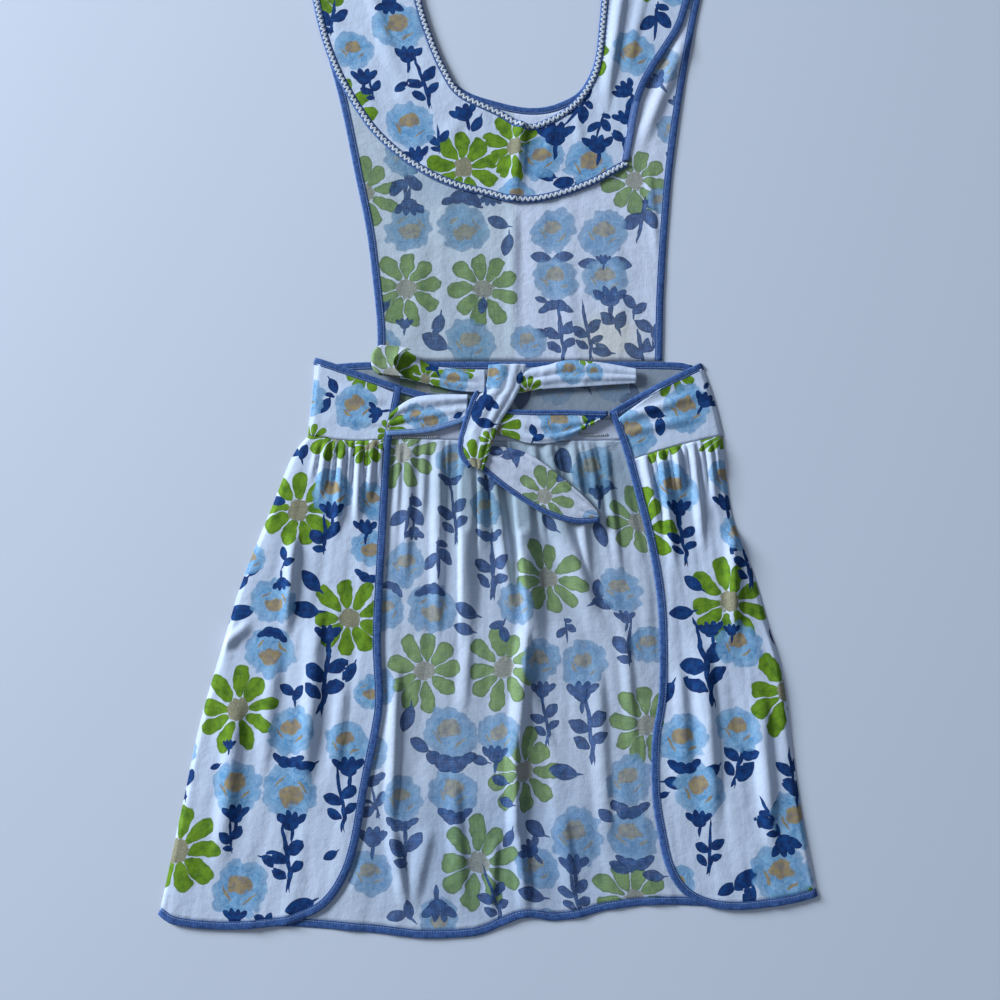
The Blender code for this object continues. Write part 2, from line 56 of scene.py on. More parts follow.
knotLevel = 5.8       # knot on the ties
roll = 5.0            # a side fold comes down to the surface over this width,
rollSteps = 5         # and over this many columns
shoulder = 470.0
strapTop = shoulder - 12
leftCorner, rightCorner = -446, -434   # where the front edges have turned into their hems
far = (60.0, 60.0)    # pattern place with nothing drawn


class Line:
    # a smooth line through a few points, read by the share of its length
    def __init__(self, points, spans=8):
        knots = [Vector(point) for point in points]
        self.points = knots if spans == 1 else smoothThrough(knots, spans)
        self.runs = [0.0]
        for start, end in zip(self.points, self.points[1:]):
            self.runs.append(self.runs[-1] + (end - start).length)
        self.length = self.runs[-1]

    def at(self, share):
        distance = min(max(share, 0.0), 1.0) * self.length
        low, high = 1, len(self.runs) - 1
        while low < high:
            middle = (low + high) // 2
            if self.runs[middle] < distance:
                low = middle + 1
            else:
                high = middle
        part = (distance - self.runs[low - 1]) / max(self.runs[low] - self.runs[low - 1], 1e-9)
        return self.points[low - 1].lerp(self.points[low], part)

    def leftOf(self, share):
        step = 1.5 / self.length
        ahead = self.at(share + step) - self.at(share - step)
        return Vector((-ahead.y, ahead.x)).normalized()

    def moved(self, distance, count=160):
        shares = [i / count for i in range(count + 1)]
        return Line([self.at(share) + self.leftOf(share) * distance for share in shares], spans=1)

    def part(self, start, end, count=80):
        shares = [start + (end - start) * i / count for i in range(count + 1)]
        return Line([self.at(share) for share in shares], spans=1)

    def shareAtY(self, level):
        for index, (start, end) in enumerate(zip(self.points, self.points[1:])):
            if end.y <= level < start.y:
                part = (start.y - level) / (start.y - end.y)
                low, high = self.runs[index:index + 2]
                return (low + part * (high - low)) / self.length
        return 0.0 if level >= self.points[0].y else 1.0

    def xAtY(self, level):
        return self.at(self.shareAtY(level)).x

    def yAtX(self, level):
        for start, end in zip(self.points, self.points[1:]):
            if end.x >= level:
                return start.lerp(end, (level - start.x) / (end.x - start.x)).y
        return self.points[-1].y


def smoothThrough(knots, spans):
    ends = [2 * knots[0] - knots[1]] + knots + [2 * knots[-1] - knots[-2]]
    points = []
    for before, start, end, after in zip(ends, ends[1:], ends[2:], ends[3:]):
        for i in range(spans):
            t = i / spans
            curve = 2 * start + (end - before) * t
            curve += (2 * before - 5 * start + 4 * end - after) * t ** 2
            curve += (3 * start - before - 3 * end + after) * t ** 3
            points.append(curve * 0.5)
    points.append(knots[-1])
    return points


def spread(*stretches):
    # shares from 0 to 1: each stretch is a number of steps and the share where they end
    shares = [0.0]
    for steps, end in stretches:
        start = shares[-1]
        shares += [start + (end - start) * i / steps for i in range(1, steps + 1)]
    return shares


def softStep(x):
    x = min(max(x, 0.0), 1.0)
    return x * x * (3 - 2 * x)


def patch(top, bottom, left, right):
    # top and bottom run to the right, left and right run down
    corners = top.at(0), top.at(1), bottom.at(0), bottom.at(1)

    def place(u, v):
        point = top.at(u) * (1 - v) + bottom.at(u) * v + left.at(v) * (1 - u) + right.at(v) * u
        point -= (corners[0] * (1 - u) + corners[1] * u) * (1 - v)
        point -= (corners[2] * (1 - u) + corners[3] * u) * v
        return point

    return place


class Folds:
    # soft ridges along straight lines; each also hides some cloth, which shifts the pattern
    # columns: xTop, yTop, xFoot, yFoot, halfWidth (negative where the left side is the steep one), peak
    gentle, sharp = 0.62, 0.24      # width of the steep side, as a share of halfWidth
    hidden = 0.7                    # cloth that a fold hides, as a share of its peak

    def __init__(self, rows):
        self.rows = []
        for xTop, yTop, xFoot, yFoot, halfWidth, peak in rows:
            run = Vector((xFoot - xTop, yFoot - yTop))
            self.rows.append((xTop, yTop, run.x, run.y, run.length_squared, run.length, halfWidth, peak))

    def read(self, x, y):
        height = 0.0
        slip = 0.0
        for xTop, yTop, runX, runY, squared, length, halfWidth, peak in self.rows:
            share = ((x - xTop) * runX + (y - yTop) * runY) / squared
            if share <= -0.05 or share >= 1:
                continue
            aside = (runX * (y - yTop) - runY * (x - xTop)) / length
            if aside < -abs(halfWidth):
                continue
            fade = softStep(0.35 + share * 4) * softStep((1 - share) * 2.2)
            steep = self.gentle if halfWidth > 0 else self.sharp
            wide = abs(halfWidth) * (1.0 if aside * halfWidth < 0 else steep)
            if abs(aside) < wide:
                height = max(height, peak * fade * (1 - (aside / wide) ** 2) ** 2)
            slip += self.hidden * peak * fade * softStep(aside / abs(halfWidth) / 2 + 0.5)
        return height, slip


def crumple(x, y, size, seed):
    # slight unevenness of washed cotton
    return noise.noise(Vector((x / size, y / size, seed)))


def wrinkle(x, y, seed, wide=11.0, long=75.0, lean=0.0):
    # long shallow wrinkles down the cloth, from 0 to about 1
    x += lean * y
    broad = noise.noise(Vector((x / wide, y / long, seed)))
    fine = noise.noise(Vector((x / wide * 2.1, y / long * 1.7, seed + 7)))
    return max(0.55 + 1.1 * broad + 0.45 * fine, 0.0) * 0.7


# look of each finish, linear colours
print("materials")


def toned(colour, factor):
    return [factor * part for part in colour]


class Nodes:
    # short names for the shader nodes that the finishes are made with
    def __init__(self, name):
        self.material = bpy.data.materials.new(name)
        self.material.use_nodes = True
        self.tree = self.material.node_tree
        self.shader = self.tree.nodes["Principled BSDF"]

    def add(self, kind, **settings):
        node = self.tree.nodes.new(kind)
        for name, value in settings.items():
            setattr(node, name, value)
        return node

    def put(self, socket, value):
        if isinstance(value, bpy.types.NodeSocket):
            self.tree.links.new(value, socket)
        else:
            socket.default_value = value

    def math(self, operation, *values):
        node = self.add("ShaderNodeMath", operation=operation)
        for socket, value in zip(node.inputs, values):
            self.put(socket, value)
        return node.outputs[0]

    def plus(self, first, second):
        return self.math("ADD", first, second)

    def minus(self, first, second):
        return self.math("SUBTRACT", first, second)

    def times(self, first, second):
        return self.math("MULTIPLY", first, second)

    def over(self, first, second):
        return self.math("DIVIDE", first, second)

    def timesPlus(self, first, second, third):
        return self.math("MULTIPLY_ADD", first, second, third)

    def size(self, value):
        return self.math("ABSOLUTE", value)

    def vector(self, operation, *values):
        node = self.add("ShaderNodeVectorMath", operation=operation)
        for socket, value in zip(node.inputs, values):
            self.put(socket, value)
        return node.outputs["Value"] if operation == "LENGTH" else node.outputs[0]

    def scaled(self, vector, factor):
        node = self.add("ShaderNodeVectorMath", operation="SCALE")
        self.put(node.inputs[0], vector)
        self.put(node.inputs["Scale"], factor)
        return node.outputs[0]

    def uv(self, name):
        return self.add("ShaderNodeUVMap", uv_map=name).outputs[0]

    def mapped(self, vector, scale, turn=0):
        node = self.add("ShaderNodeMapping")
        self.put(node.inputs["Vector"], vector)
        node.inputs["Rotation"].default_value = (0, 0, math.radians(turn))
        node.inputs["Scale"].default_value = scale
        return node.outputs[0]

    def noise(self, vector, scale, detail=2.0, rough=0.5, colour=False):
        node = self.add("ShaderNodeTexNoise")
        self.put(node.inputs["Vector"], vector)
        node.inputs["Scale"].default_value = scale
        node.inputs["Detail"].default_value = detail
        node.inputs["Roughness"].default_value = rough
        return node.outputs["Color" if colour else "Fac"]

    def step(self, value, low, high):
        # 0 below low and 1 above high, soft between, or the other way round where low is the greater
        node = self.add("ShaderNodeMapRange", interpolation_type="SMOOTHSTEP")
        self.put(node.inputs["Value"], value)
        node.inputs["From Min"].default_value = min(low, high)
        node.inputs["From Max"].default_value = max(low, high)
        node.inputs["To Min"].default_value = 0.0 if low < high else 1.0
        node.inputs["To Max"].default_value = 1.0 if low < high else 0.0
        return node.outputs["Result"]

    def mix(self, share, first, second, blend="MIX"):
        node = self.add("ShaderNodeMix", data_type="RGBA", blend_type=blend)
        self.put(node.inputs["Factor"], share)
        for socket, value in ((node.inputs[6], first), (node.inputs[7], second)):
            self.put(socket, value if isinstance(value, bpy.types.NodeSocket) else (*value, 1))
        return node.outputs[2]

    def tinted(self, colour, tint):
        return self.mix(1.0, colour, tint, "MULTIPLY")

    def parts(self, vector):
        node = self.add("ShaderNodeSeparateXYZ")
        self.put(node.inputs[0], vector)
        return node.outputs[0], node.outputs[1]

    def leaf(self, vector, x, y, turn, halfLength, halfWidth, point=1.35):
        # under 1 inside an oval, which has pointed ends where point is 1 and round ones where it is 2
        node = self.add("ShaderNodeMapping", vector_type="TEXTURE")
        self.put(node.inputs["Vector"], vector)
        node.inputs["Location"].default_value = (x, y, 0)
        node.inputs["Rotation"].default_value = (0, 0, math.radians(turn))
        node.inputs["Scale"].default_value = (halfLength, halfWidth, 1)
        along, across = self.parts(node.outputs[0])
        return self.plus(self.times(along, along), self.math("POWER", self.size(across), point))

    def leaves(self, vector, rows):
        # under 1 inside any of the ovals, which blend where they meet
        # columns: x, y, turn, half length, half width, and point where it isn't the usual one
        least, *others = (self.leaf(vector, *row) for row in rows)
        for value in others:
            least = self.math("SMOOTH_MIN", least, value, 0.08)
        return least

    def bump(self, height, strength, distance):
        node = self.add("ShaderNodeBump")
        node.inputs["Strength"].default_value = strength
        node.inputs["Distance"].default_value = distance
        self.put(node.inputs["Height"], height)
        self.put(self.shader.inputs["Normal"], node.outputs[0])


printRight = dict(
    ground=(0.67, 0.75, 0.93), green=(0.180, 0.335, 0.012), deepGreen=(0.085, 0.195, 0.006),
    taupe=(0.33, 0.31, 0.20), blue=(0.320, 0.560, 0.800), deepBlue=(0.125, 0.325, 0.590),
    ochre=(0.40, 0.29, 0.13), umber=(0.27, 0.21, 0.17), navy=(0.001, 0.026, 0.135),
    cobalt=(0.002, 0.058, 0.235), strength=1.0, threads=0.018, rim=0.25, roughness=0.84, paintedShadeAndStains=(),
)
printWrong = dict(
    ground=(0.66, 0.70, 0.85), green=(0.215, 0.340, 0.085), deepGreen=(0.145, 0.250, 0.060),
    taupe=(0.38, 0.37, 0.30), blue=(0.270, 0.460, 0.680), deepBlue=(0.140, 0.305, 0.540),
    ochre=(0.40, 0.36, 0.26), umber=(0.26, 0.25, 0.24), navy=(0.012, 0.050, 0.185),
    cobalt=(0.030, 0.105, 0.310), strength=0.94, threads=0.075, rim=0.60, roughness=0.88, paintedShadeAndStains=(),
)
# paintedShadeAndStains: places tinted as painted shade, and stains; x, y, half width and half height in
# metres of a place with a soft edge, and its tint
# the skirt's wrong side with painted shade: a slightly darker ground, and darker places among the gathers
# at its top, beside the right back panel's edge and over the low folds
skirtInside = dict(printWrong, ground=(0.62, 0.69, 0.84), paintedShadeAndStains=(
    (0.034, -0.084, 0.080, 0.050, (0.60, 0.68, 0.66)),
    (0.118, -0.075, 0.020, 0.040, (0.74, 0.80, 0.80)),
    (0.005, -0.405, 0.115, 0.055, (0.82, 0.87, 0.93)),
))
# painted shade: a darker copy of the wrong side, for the front waistband where it lies deep in the opening
# under the back waistbands
bandShade = dict(
    printWrong, ground=(0.30, 0.35, 0.43), green=(0.15, 0.22, 0.09), blue=(0.19, 0.29, 0.40),
    deepBlue=(0.13, 0.22, 0.34), ochre=(0.22, 0.22, 0.19), navy=(0.04, 0.07, 0.15),
    cobalt=(0.05, 0.09, 0.19), strength=0.75,
)
# doubled: tint of the left half, left of the bib's centre crease: painted shade
bibInside = dict(printWrong, ground=(0.72, 0.78, 0.95), doubled=(0.80, 0.84, 0.78), paintedShadeAndStains=(
    # a stain
    (0.112, 0.054, 0.030, 0.024, (1.0, 0.92, 0.76)),
    # painted shade in a strip just below the yoke's edge
    (-0.02, 0.20, 0.07, 0.016, (0.80, 0.85, 0.90)),
))


def inCell(n, place):
    # daisies and roses come in four variants, drawn side by side and 4 apart
    x, y = n.parts(place)
    cell = n.math("ROUND", n.over(x, 4.0))
    return n.timesPlus(cell, -4.0, x), y, cell


# sizes are shares of the flower's radius
daisy = dict(petals=9, petalMiddle=0.625, petalHalf=0.375, lean=0.16, ripple=0.20, heart=0.33)


def paintDaisy(n, ripple, colours):
    petals = daisy["petals"]
    x, y, cell = inCell(n, n.vector("ADD", n.uv("daisy"), n.scaled(ripple, daisy["ripple"])))
    radius = n.math("SQRT", n.timesPlus(x, x, n.times(y, y)))
    turn = n.times(n.math("ARCTAN2", y, x), petals / math.tau)
    petal = n.math("ROUND", turn)
    # each petal has its own lean, width and length
    own = n.add("ShaderNodeTexWhiteNoise", noise_dimensions="1D")
    n.put(own.inputs["W"], n.timesPlus(cell, 17.0, n.math("FLOORED_MODULO", petal, float(petals))))
    lean, plump = n.parts(own.outputs["Color"])
    off = n.times(n.minus(turn, petal), math.tau / petals)
    off = n.timesPlus(n.minus(lean, 0.5), daisy["lean"], off)
    reach = n.timesPlus(own.outputs["Value"], 0.22, 0.84)
    along = n.over(n.times(radius, n.math("COSINE", off)), reach)
    across = n.times(radius, n.math("SINE", off))
    length = n.over(n.minus(along, daisy["petalMiddle"]), daisy["petalHalf"])
    half = n.timesPlus(along, 0.175, 0.070)
    width = n.over(across, n.times(half, n.timesPlus(plump, 0.26, 0.86)))
    outside = n.plus(n.math("POWER", n.size(length), 2.6), n.times(width, width))
    mask = n.step(outside, 1.10, 0.92)
    rim = n.times(n.step(outside, 0.50, 1.0), colours["rim"])
    vein = n.times(n.step(n.size(width), 0.14, 0.02), 0.30)
    tone = n.plus(n.step(n.noise(n.uv("cloth"), 110, 3), 0.38, 0.72), vein)
    colour = n.mix(n.math("MINIMUM", tone, 1.0), colours["green"], colours["deepGreen"])
    colour = n.mix(rim, colour, toned(colours["deepGreen"], 0.5))
    heart = daisy["heart"]
    middle = n.step(n.timesPlus(n.noise(n.uv("cloth"), 240, 2), 0.16, radius), heart + 0.015, heart - 0.015)
    dots = n.step(n.noise(n.uv("cloth"), 650, 1), 0.42, 0.60)
    return mask, colour, middle, n.mix(dots, colours["taupe"], toned(colours["taupe"], 0.76))


rose = dict(
    ripple=0.36, lobes=0.08, lopsided=0.05, ragged=0.34, petalScale=0.62, petalCount=2.9,
    brushed=[
        (-0.58, 0.42, 128, 0.27, 0.05), (0.52, -0.40, 48, 0.30, 0.05), (-0.30, -0.62, -24, 0.26, 0.045),
        (0.48, 0.56, -38, 0.22, 0.05),
    ],
    # the heart is a few soft dabs with a thin stroke or two beside them
    dabs=[
        (-0.21, 0.18, 62, 0.30, 0.20, 2), (0.15, 0.22, -50, 0.30, 0.19, 2), (-0.02, 0.03, 8, 0.25, 0.17, 2),
        (-0.45, -0.12, 122, 0.27, 0.055), (0.34, -0.30, 34, 0.24, 0.050),
    ],
)


def paintRose(n, ripple, colours):
    cloth = n.uv("cloth")
    x, y, cell = inCell(n, n.vector("ADD", n.uv("rose"), n.scaled(ripple, rose["ripple"])))
    flat = n.add("ShaderNodeCombineXYZ")
    for socket, value in zip(flat.inputs, (x, y, 0.0)):
        n.put(socket, value)
    place = flat.outputs[0]
    radius = n.vector("LENGTH", place)
    turn = n.math("ARCTAN2", y, x)
    lobes = n.math("SINE", n.timesPlus(turn, 5.0, n.times(cell, 1.7)))
    slow = n.math("SINE", n.timesPlus(turn, 2.0, n.times(cell, 2.9)))
    edge = n.timesPlus(n.size(lobes), -rose["lobes"], n.timesPlus(slow, rose["lopsided"], radius))
    edge = n.timesPlus(n.noise(cloth, 75, 2), rose["ragged"], edge)
    body = n.timesPlus(n.step(edge, 1.03, 0.70), 0.24, 0.76)
    mask = n.times(n.step(edge, 1.07, 1.00), body)
    rim = n.times(n.step(edge, 0.80, 1.03), 0.5 * colours["rim"])
    # overlapping petals: each its own tone, pale where two meet
    petals = n.add("ShaderNodeTexVoronoi", voronoi_dimensions="3D", feature="F1")
    meets = n.add("ShaderNodeTexVoronoi", voronoi_dimensions="3D", feature="DISTANCE_TO_EDGE")
    apart = n.vector("ADD", n.scaled(ripple, 1.1), n.times(cell, 0.83))
    for node in (petals, meets):
        n.put(node.inputs["Vector"], n.vector("ADD", n.scaled(place, rose["petalScale"]), apart))
        node.inputs["Scale"].default_value = rose["petalCount"]
        node.inputs["Randomness"].default_value = 0.9
    own = n.times(n.parts(petals.outputs["Color"])[0], 0.62)
    tone = n.timesPlus(n.step(petals.outputs["Distance"], 0.10, 0.62), 0.40, own)
    tone = n.plus(tone, n.times(n.step(n.noise(cloth, 95, 3), 0.40, 0.66), 0.28))
    colour = n.mix(n.math("MINIMUM", tone, 1.0), colours["blue"], colours["deepBlue"])
    pale = [0.55 * part + 0.45 * other for part, other in zip(colours["blue"], colours["ground"])]
    line = n.times(n.step(meets.outputs["Distance"], 0.150, 0.010), n.step(radius, 1.00, 0.70))
    colour = n.mix(n.times(line, 0.30), colour, pale)
    brushed = n.step(n.leaves(place, rose["brushed"]), 1.3, 0.6)
    colour = n.mix(n.times(brushed, 0.5), colour, colours["deepBlue"])
    colour = n.mix(rim, colour, toned(colours["deepBlue"], 0.7))
    blot = n.timesPlus(n.noise(cloth, 150, 2), 0.9, n.leaves(place, rose["dabs"]))
    dab = n.times(n.step(blot, 1.72, 1.02), 0.95)
    gold = n.mix(n.step(n.noise(cloth, 190, 2), 0.38, 0.70), colours["ochre"], colours["umber"])
    return mask, colour, dab, gold


# dark motifs, drawn side by side and 4 apart
crown = dict(ripple=0.30, leaves=[
    # full crown
    (-0.56, 0.20, 138, 0.46, 0.25, 1.8), (0.57, 0.22, 40, 0.46, 0.24, 1.8),
    (-0.20, 0.32, 104, 0.42, 0.22, 1.8), (0.19, 0.30, 78, 0.42, 0.23, 1.8),
    (0.0, -0.12, 0, 0.50, 0.36, 1.8), (0.03, -0.66, 84, 0.55, 0.13),
    # saucer that lies close to its rose
    (3.74, -0.10, 160, 0.46, 0.36, 1.8), (4.30, -0.12, 14, 0.46, 0.33, 1.8),
    (3.34, 0.10, 146, 0.46, 0.24, 1.8), (4.68, 0.08, 30, 0.46, 0.23, 1.8),
])
stem = dict(ripple=0.20, leaves=[
    # long stem
    (0.02, 0.05, 92, 1.25, 0.075), (0.05, -0.75, 74, 0.42, 0.08), (-0.31, -0.02, 152, 0.35, 0.21),
    (0.32, 0.20, 34, 0.36, 0.21), (-0.27, -0.52, 140, 0.30, 0.17), (0.30, -0.36, 28, 0.30, 0.17),
    # short stem
    (4.0, 0.1, 84, 1.1, 0.10), (3.60, 0.05, 128, 0.52, 0.30), (4.42, 0.20, 44, 0.52, 0.30),
    (3.70, -0.60, 160, 0.36, 0.20),
    # single leaf
    (8.0, 0.0, 0, 1.0, 0.55), (8.9, 0.05, 12, 0.5, 0.09),
    # pair of leaves
    (11.68, 0.30, 128, 0.62, 0.36), (12.36, -0.16, 38, 0.62, 0.34), (12.0, -0.45, 80, 0.62, 0.09),
])


def paintLeaves(n, ripple, kind, motifs):
    return n.leaves(n.vector("ADD", n.uv(kind), n.scaled(ripple, motifs["ripple"])), motifs["leaves"])


def shadePlaces(n, colour, colours):
    # soft tints that keep to a place of the garment: painted shade, and stains
    plan = n.add("ShaderNodeTexCoord").outputs["Object"]
    if "doubled" in colours:
        x = n.parts(plan)[0]
        # painted shade: the bib's left half, left of its centre crease at about 24 mm, is tinted darker
        doubled = n.step(n.timesPlus(n.noise(plan, 30, 2), 0.002, x), 0.0252, 0.0238)
        colour = n.mix(n.times(doubled, 0.85), colour, n.tinted(colour, colours["doubled"]))
    # places tinted as painted shade, and stains
    for x, y, wide, tall, tint in colours["paintedShadeAndStains"]:
        away = n.vector("DIVIDE", n.vector("SUBTRACT", plan, (x, y, 0.0)), (wide, tall, 1.0))
        shaded = n.step(n.timesPlus(n.noise(plan, 45, 3), 0.7, n.vector("LENGTH", away)), 1.85, 0.75)
        colour = n.mix(shaded, colour, n.tinted(colour, tint))
    return colour


def fabric(name, colours):
    n = Nodes(name)
    cloth = n.uv("cloth")
    ground = colours["ground"]
    ripple = n.vector("SUBTRACT", n.noise(cloth, 85, 1.5, 0.5, colour=True), (0.5, 0.5, 0.5))
    warp, weft = (n.noise(n.mapped(cloth, scale), 1.0, 2) for scale in ((1250, 70, 1), (70, 1250, 1)))
    threads = n.plus(warp, weft)
    petals, green, middle, heart = paintDaisy(n, ripple, colours)
    bloom, blue, dab, gold = paintRose(n, ripple, colours)
    crowns, stems = paintLeaves(n, ripple, "crown", crown), paintLeaves(n, ripple, "stem", stem)
    mottle = n.mix(n.step(n.noise(cloth, 170, 3), 0.38, 0.66), colours["navy"], colours["cobalt"])
    crownBlue, stemBlue = (
        n.mix(n.times(n.step(shape, 0.62, 0.98), colours["rim"]), mottle, toned(colours["navy"], 0.45))
        for shape in (crowns, stems)
    )
    colour = n.mix(n.step(n.noise(cloth, 14, 2), 0.3, 0.75), ground, toned(ground, 0.93))
    layers = [
        (petals, green), (middle, heart), (n.step(stems, 1.04, 0.92), stemBlue), (bloom, blue), (dab, gold),
        (n.step(crowns, 1.04, 0.94), crownBlue),
    ]
    for mask, paint in layers:
        colour = n.mix(n.times(mask, colours["strength"]), colour, paint)
    colour = n.mix(n.times(n.step(threads, 0.98, 1.22), 2.2 * colours["threads"]), colour, ground)
    slub = n.times(n.step(threads, 1.02, 0.82), 2.0 * colours["threads"])
    colour = n.mix(slub, colour, toned(ground, 0.55))
    n.put(n.shader.inputs["Base Color"], shadePlaces(n, colour, colours))
    n.put(n.shader.inputs["Roughness"], n.timesPlus(threads, 0.12, colours["roughness"] - 0.12))
    n.shader.inputs["Specular IOR Level"].default_value = 0.12
    n.shader.inputs["Sheen Weight"].default_value = 0.03
    n.shader.inputs["Sheen Roughness"].default_value = 0.5
    rumple = n.timesPlus(n.noise(cloth, 60, 4, 0.6), 1.8, n.times(threads, 0.12))
    n.bump(rumple, strength=0.55, distance=0.0011)
    return n.material


# stitch: its spacing; seam: how far its line lies from the inner edge
biasBlue = dict(
    light=(0.062, 0.135, 0.36), dark=(0.024, 0.064, 0.215), worn=(0.15, 0.25, 0.50),
    thread=(0.34, 0.45, 0.70), stitch=2.3, seam=1.35,
)
wornBlue = dict(
    biasBlue, light=(0.20, 0.34, 0.62), dark=(0.11, 0.22, 0.50), worn=(0.30, 0.44, 0.72),
    thread=(0.5, 0.6, 0.8),
)
paleBlue = dict(
    biasBlue, light=(0.150, 0.240, 0.53), dark=(0.085, 0.165, 0.42), worn=(0.26, 0.37, 0.66),
    thread=(0.44, 0.54, 0.80),
)


def bindingFabric(name, look, width):
    # the map runs along the binding and across it, from its fold to its stitched edge, in metres
    n = Nodes(name)
    cloth = n.uv("cloth")
    along, across = n.parts(cloth)
    mottle = n.mix(n.step(n.noise(cloth, 260, 4, 0.6), 0.32, 0.68), look["dark"], look["light"])
    worn = n.times(n.step(across, 1.5 * mm, 0.2 * mm), n.step(n.noise(cloth, 420, 3), 0.36, 0.6))
    colour = n.mix(n.times(worn, 0.8), mottle, look["worn"])
    twill = n.noise(n.mapped(cloth, (2600, 500, 1), turn=45), 1.0, 1)
    colour = n.mix(n.step(twill, 0.5, 0.72), colour, toned(look["light"], 1.25))
    line = n.size(n.minus(across, (width - look["seam"]) * mm))
    every = n.math("FRACT", n.over(along, look["stitch"] * mm))
    dash = n.times(n.step(line, 0.34 * mm, 0.16 * mm), n.step(every, 0.74, 0.66))
    # the stitched line sinks into a groove: drawn in the bump, and darker in colour as painted shade
    groove = n.step(line, 0.9 * mm, 0.2 * mm)
    colour = n.mix(n.times(groove, 0.45), colour, toned(look["dark"], 0.6))
    n.put(n.shader.inputs["Base Color"], n.mix(dash, colour, look["thread"]))
    n.shader.inputs["Roughness"].default_value = 0.8
    n.shader.inputs["Specular IOR Level"].default_value = 0.15
    n.shader.inputs["Sheen Weight"].default_value = 0.05
    n.shader.inputs["Sheen Roughness"].default_value = 0.5
    height = n.minus(n.times(twill, 0.15), n.times(groove, 0.8))
    height = n.plus(height, n.times(dash, 0.7))
    n.bump(n.timesPlus(n.noise(cloth, 300, 2), 0.9, height), strength=0.6, distance=0.0006)
    return n.material


# light is the thread's colour; dark is painted shade in the grooves of the plait
rickrackWhite = dict(light=(0.80, 0.83, 0.88), dark=(0.50, 0.56, 0.68), plait=0.9)
overlockGrey = dict(light=(0.74, 0.76, 0.80), dark=(0.12, 0.15, 0.20), plait=1.9)


def braidFabric(name, look):
    n = Nodes(name)
    along, across = n.parts(n.uv("cloth"))
    plait = n.math("SINE", n.times(n.plus(along, n.size(across)), math.tau / (look["plait"] * mm)))
    # dark on the low side of the plait, the wave that also makes its bump: painted shade in the braid's
    # grooves
    n.put(n.shader.inputs["Base Color"], n.mix(n.step(plait, 0.1, -0.9), look["light"], look["dark"]))
    n.shader.inputs["Roughness"].default_value = 0.7
    n.shader.inputs["Specular IOR Level"].default_value = 0.3
    n.bump(plait, strength=0.5, distance=0.0003)
    return n.material


looks = dict(
    right=fabric("cottonPrintRightSide", printRight),
    wrong=fabric("cottonPrintWrongSide", printWrong),
    skirt=fabric("cottonPrintSkirt", skirtInside),
    inside=fabric("cottonPrintBandShade", bandShade),
    bib=fabric("cottonPrintBib", bibInside),
    bias=bindingFabric("biasBinding", biasBlue, binding),
    tieBias=bindingFabric("tieBinding", biasBlue, tieBinding),
    wornBias=bindingFabric("wornTieBinding", wornBlue, tieBinding),
    paleBias=bindingFabric("paleBinding", paleBlue, binding),
    overlock=braidFabric("overlockThread", overlockGrey),
    braid=braidFabric("rickrackBraid", rickrackWhite),
)


class Pattern:
    # the flowers on one piece, from its rows of x, y, turn, size and, where a kind has several, its motif
    # crowns are the dark cups under the roses
    tables = dict(daisy="daisies", rose="roses", crown="crowns", stem="stems")
    cells = dict(long=0.0, short=4.0, leaf=8.0, pair=12.0, saucer=4.0)
    reach = dict(
        daisy=(1.5, 1.5), rose=(1.5, 1.5), crown=(1.5, 1.6), saucer=(1.6, 1.2), long=(1.1, 1.7),
        short=(1.3, 1.6), leaf=(1.9, 1.1), pair=(1.4, 1.4),
    )

    def __init__(self, charted):
        self.kinds = {kind: charted.get(table, ()) for kind, table in self.tables.items()}
        self.trees = {}
        for kind, rows in self.kinds.items():
            tree = kdtree.KDTree(max(len(rows), 1))
            for index, row in enumerate(rows):
                tree.insert((row[0], row[1], 0), index)
            tree.balance()
            self.trees[kind] = tree

    def turned(self, row, x, y):
        # a place in the motif's own axes, in its own size
        turn = math.radians(row[2])
        dx, dy = x / row[3], y / row[3]
        return dx * math.cos(turn) + dy * math.sin(turn), dy * math.cos(turn) - dx * math.sin(turn)

    def near(self, kind, x, y):
        # the motif that this place is deepest inside
        rows = self.kinds[kind]
        best, least = None, 1.0
        if rows:
            for point, index, distance in self.trees[kind].find_n((x, y, 0), 5):
                row = rows[index]
                u, v = self.turned(row, x - row[0], y - row[1])
                wide, tall = self.reach[row[4] if len(row) > 4 else kind]
                depth = (u / wide) ** 2 + (v / tall) ** 2
                if depth < least:
                    best, least = row, depth
        return best

    def offset(self, kind, row, x, y, slip):
        # slip: how much more cloth is hidden left of this place than left of the motif
        u, v = self.turned(row, x - row[0] + slip, y - row[1])
        if len(row) > 4:
            return u + self.cells[row[4]], v
        if kind in ("daisy", "rose"):
            u += 4.0 * ((row[0] + row[1]) % 4)
        return u, v


def mapPrint(grid, clothMap, pattern, folds):
    # the cloth's own map, shifted by what the folds hide, and a map for each kind of motif
    # every face shows the motif of each kind that its middle is deepest inside
    def slipAt(x, y):
        return folds.read(x, y)[1] if folds else 0.0

    maps = {kind: grid.loops.layers.uv.new(kind) for kind in pattern.kinds}
    slips = {corner: slipAt(corner.co.x / mm, corner.co.y / mm) for corner in grid.verts}
    rowSlips = {}
    for face in grid.faces:
        middle = face.calc_center_median() / mm
        chosen = {kind: pattern.near(kind, middle.x, middle.y) for kind in maps}
        for loop in face.loops:
            x, y = loop.vert.co.x / mm, loop.vert.co.y / mm
            slip = slips[loop.vert]
            loop[clothMap].uv = ((x + slip) * mm, y * mm)
            for kind, layer in maps.items():
                row = chosen[kind]
                if row is None:
                    loop[layer].uv = far
                    continue
                if row not in rowSlips:
                    rowSlips[row] = slipAt(row[0], row[1])
                loop[layer].uv = pattern.offset(kind, row, x, y, slip - rowSlips[row])


def addObject(name, data):
    thing = bpy.data.objects.new(name, data)
    bpy.context.scene.collection.objects.link(thing)
    return thing


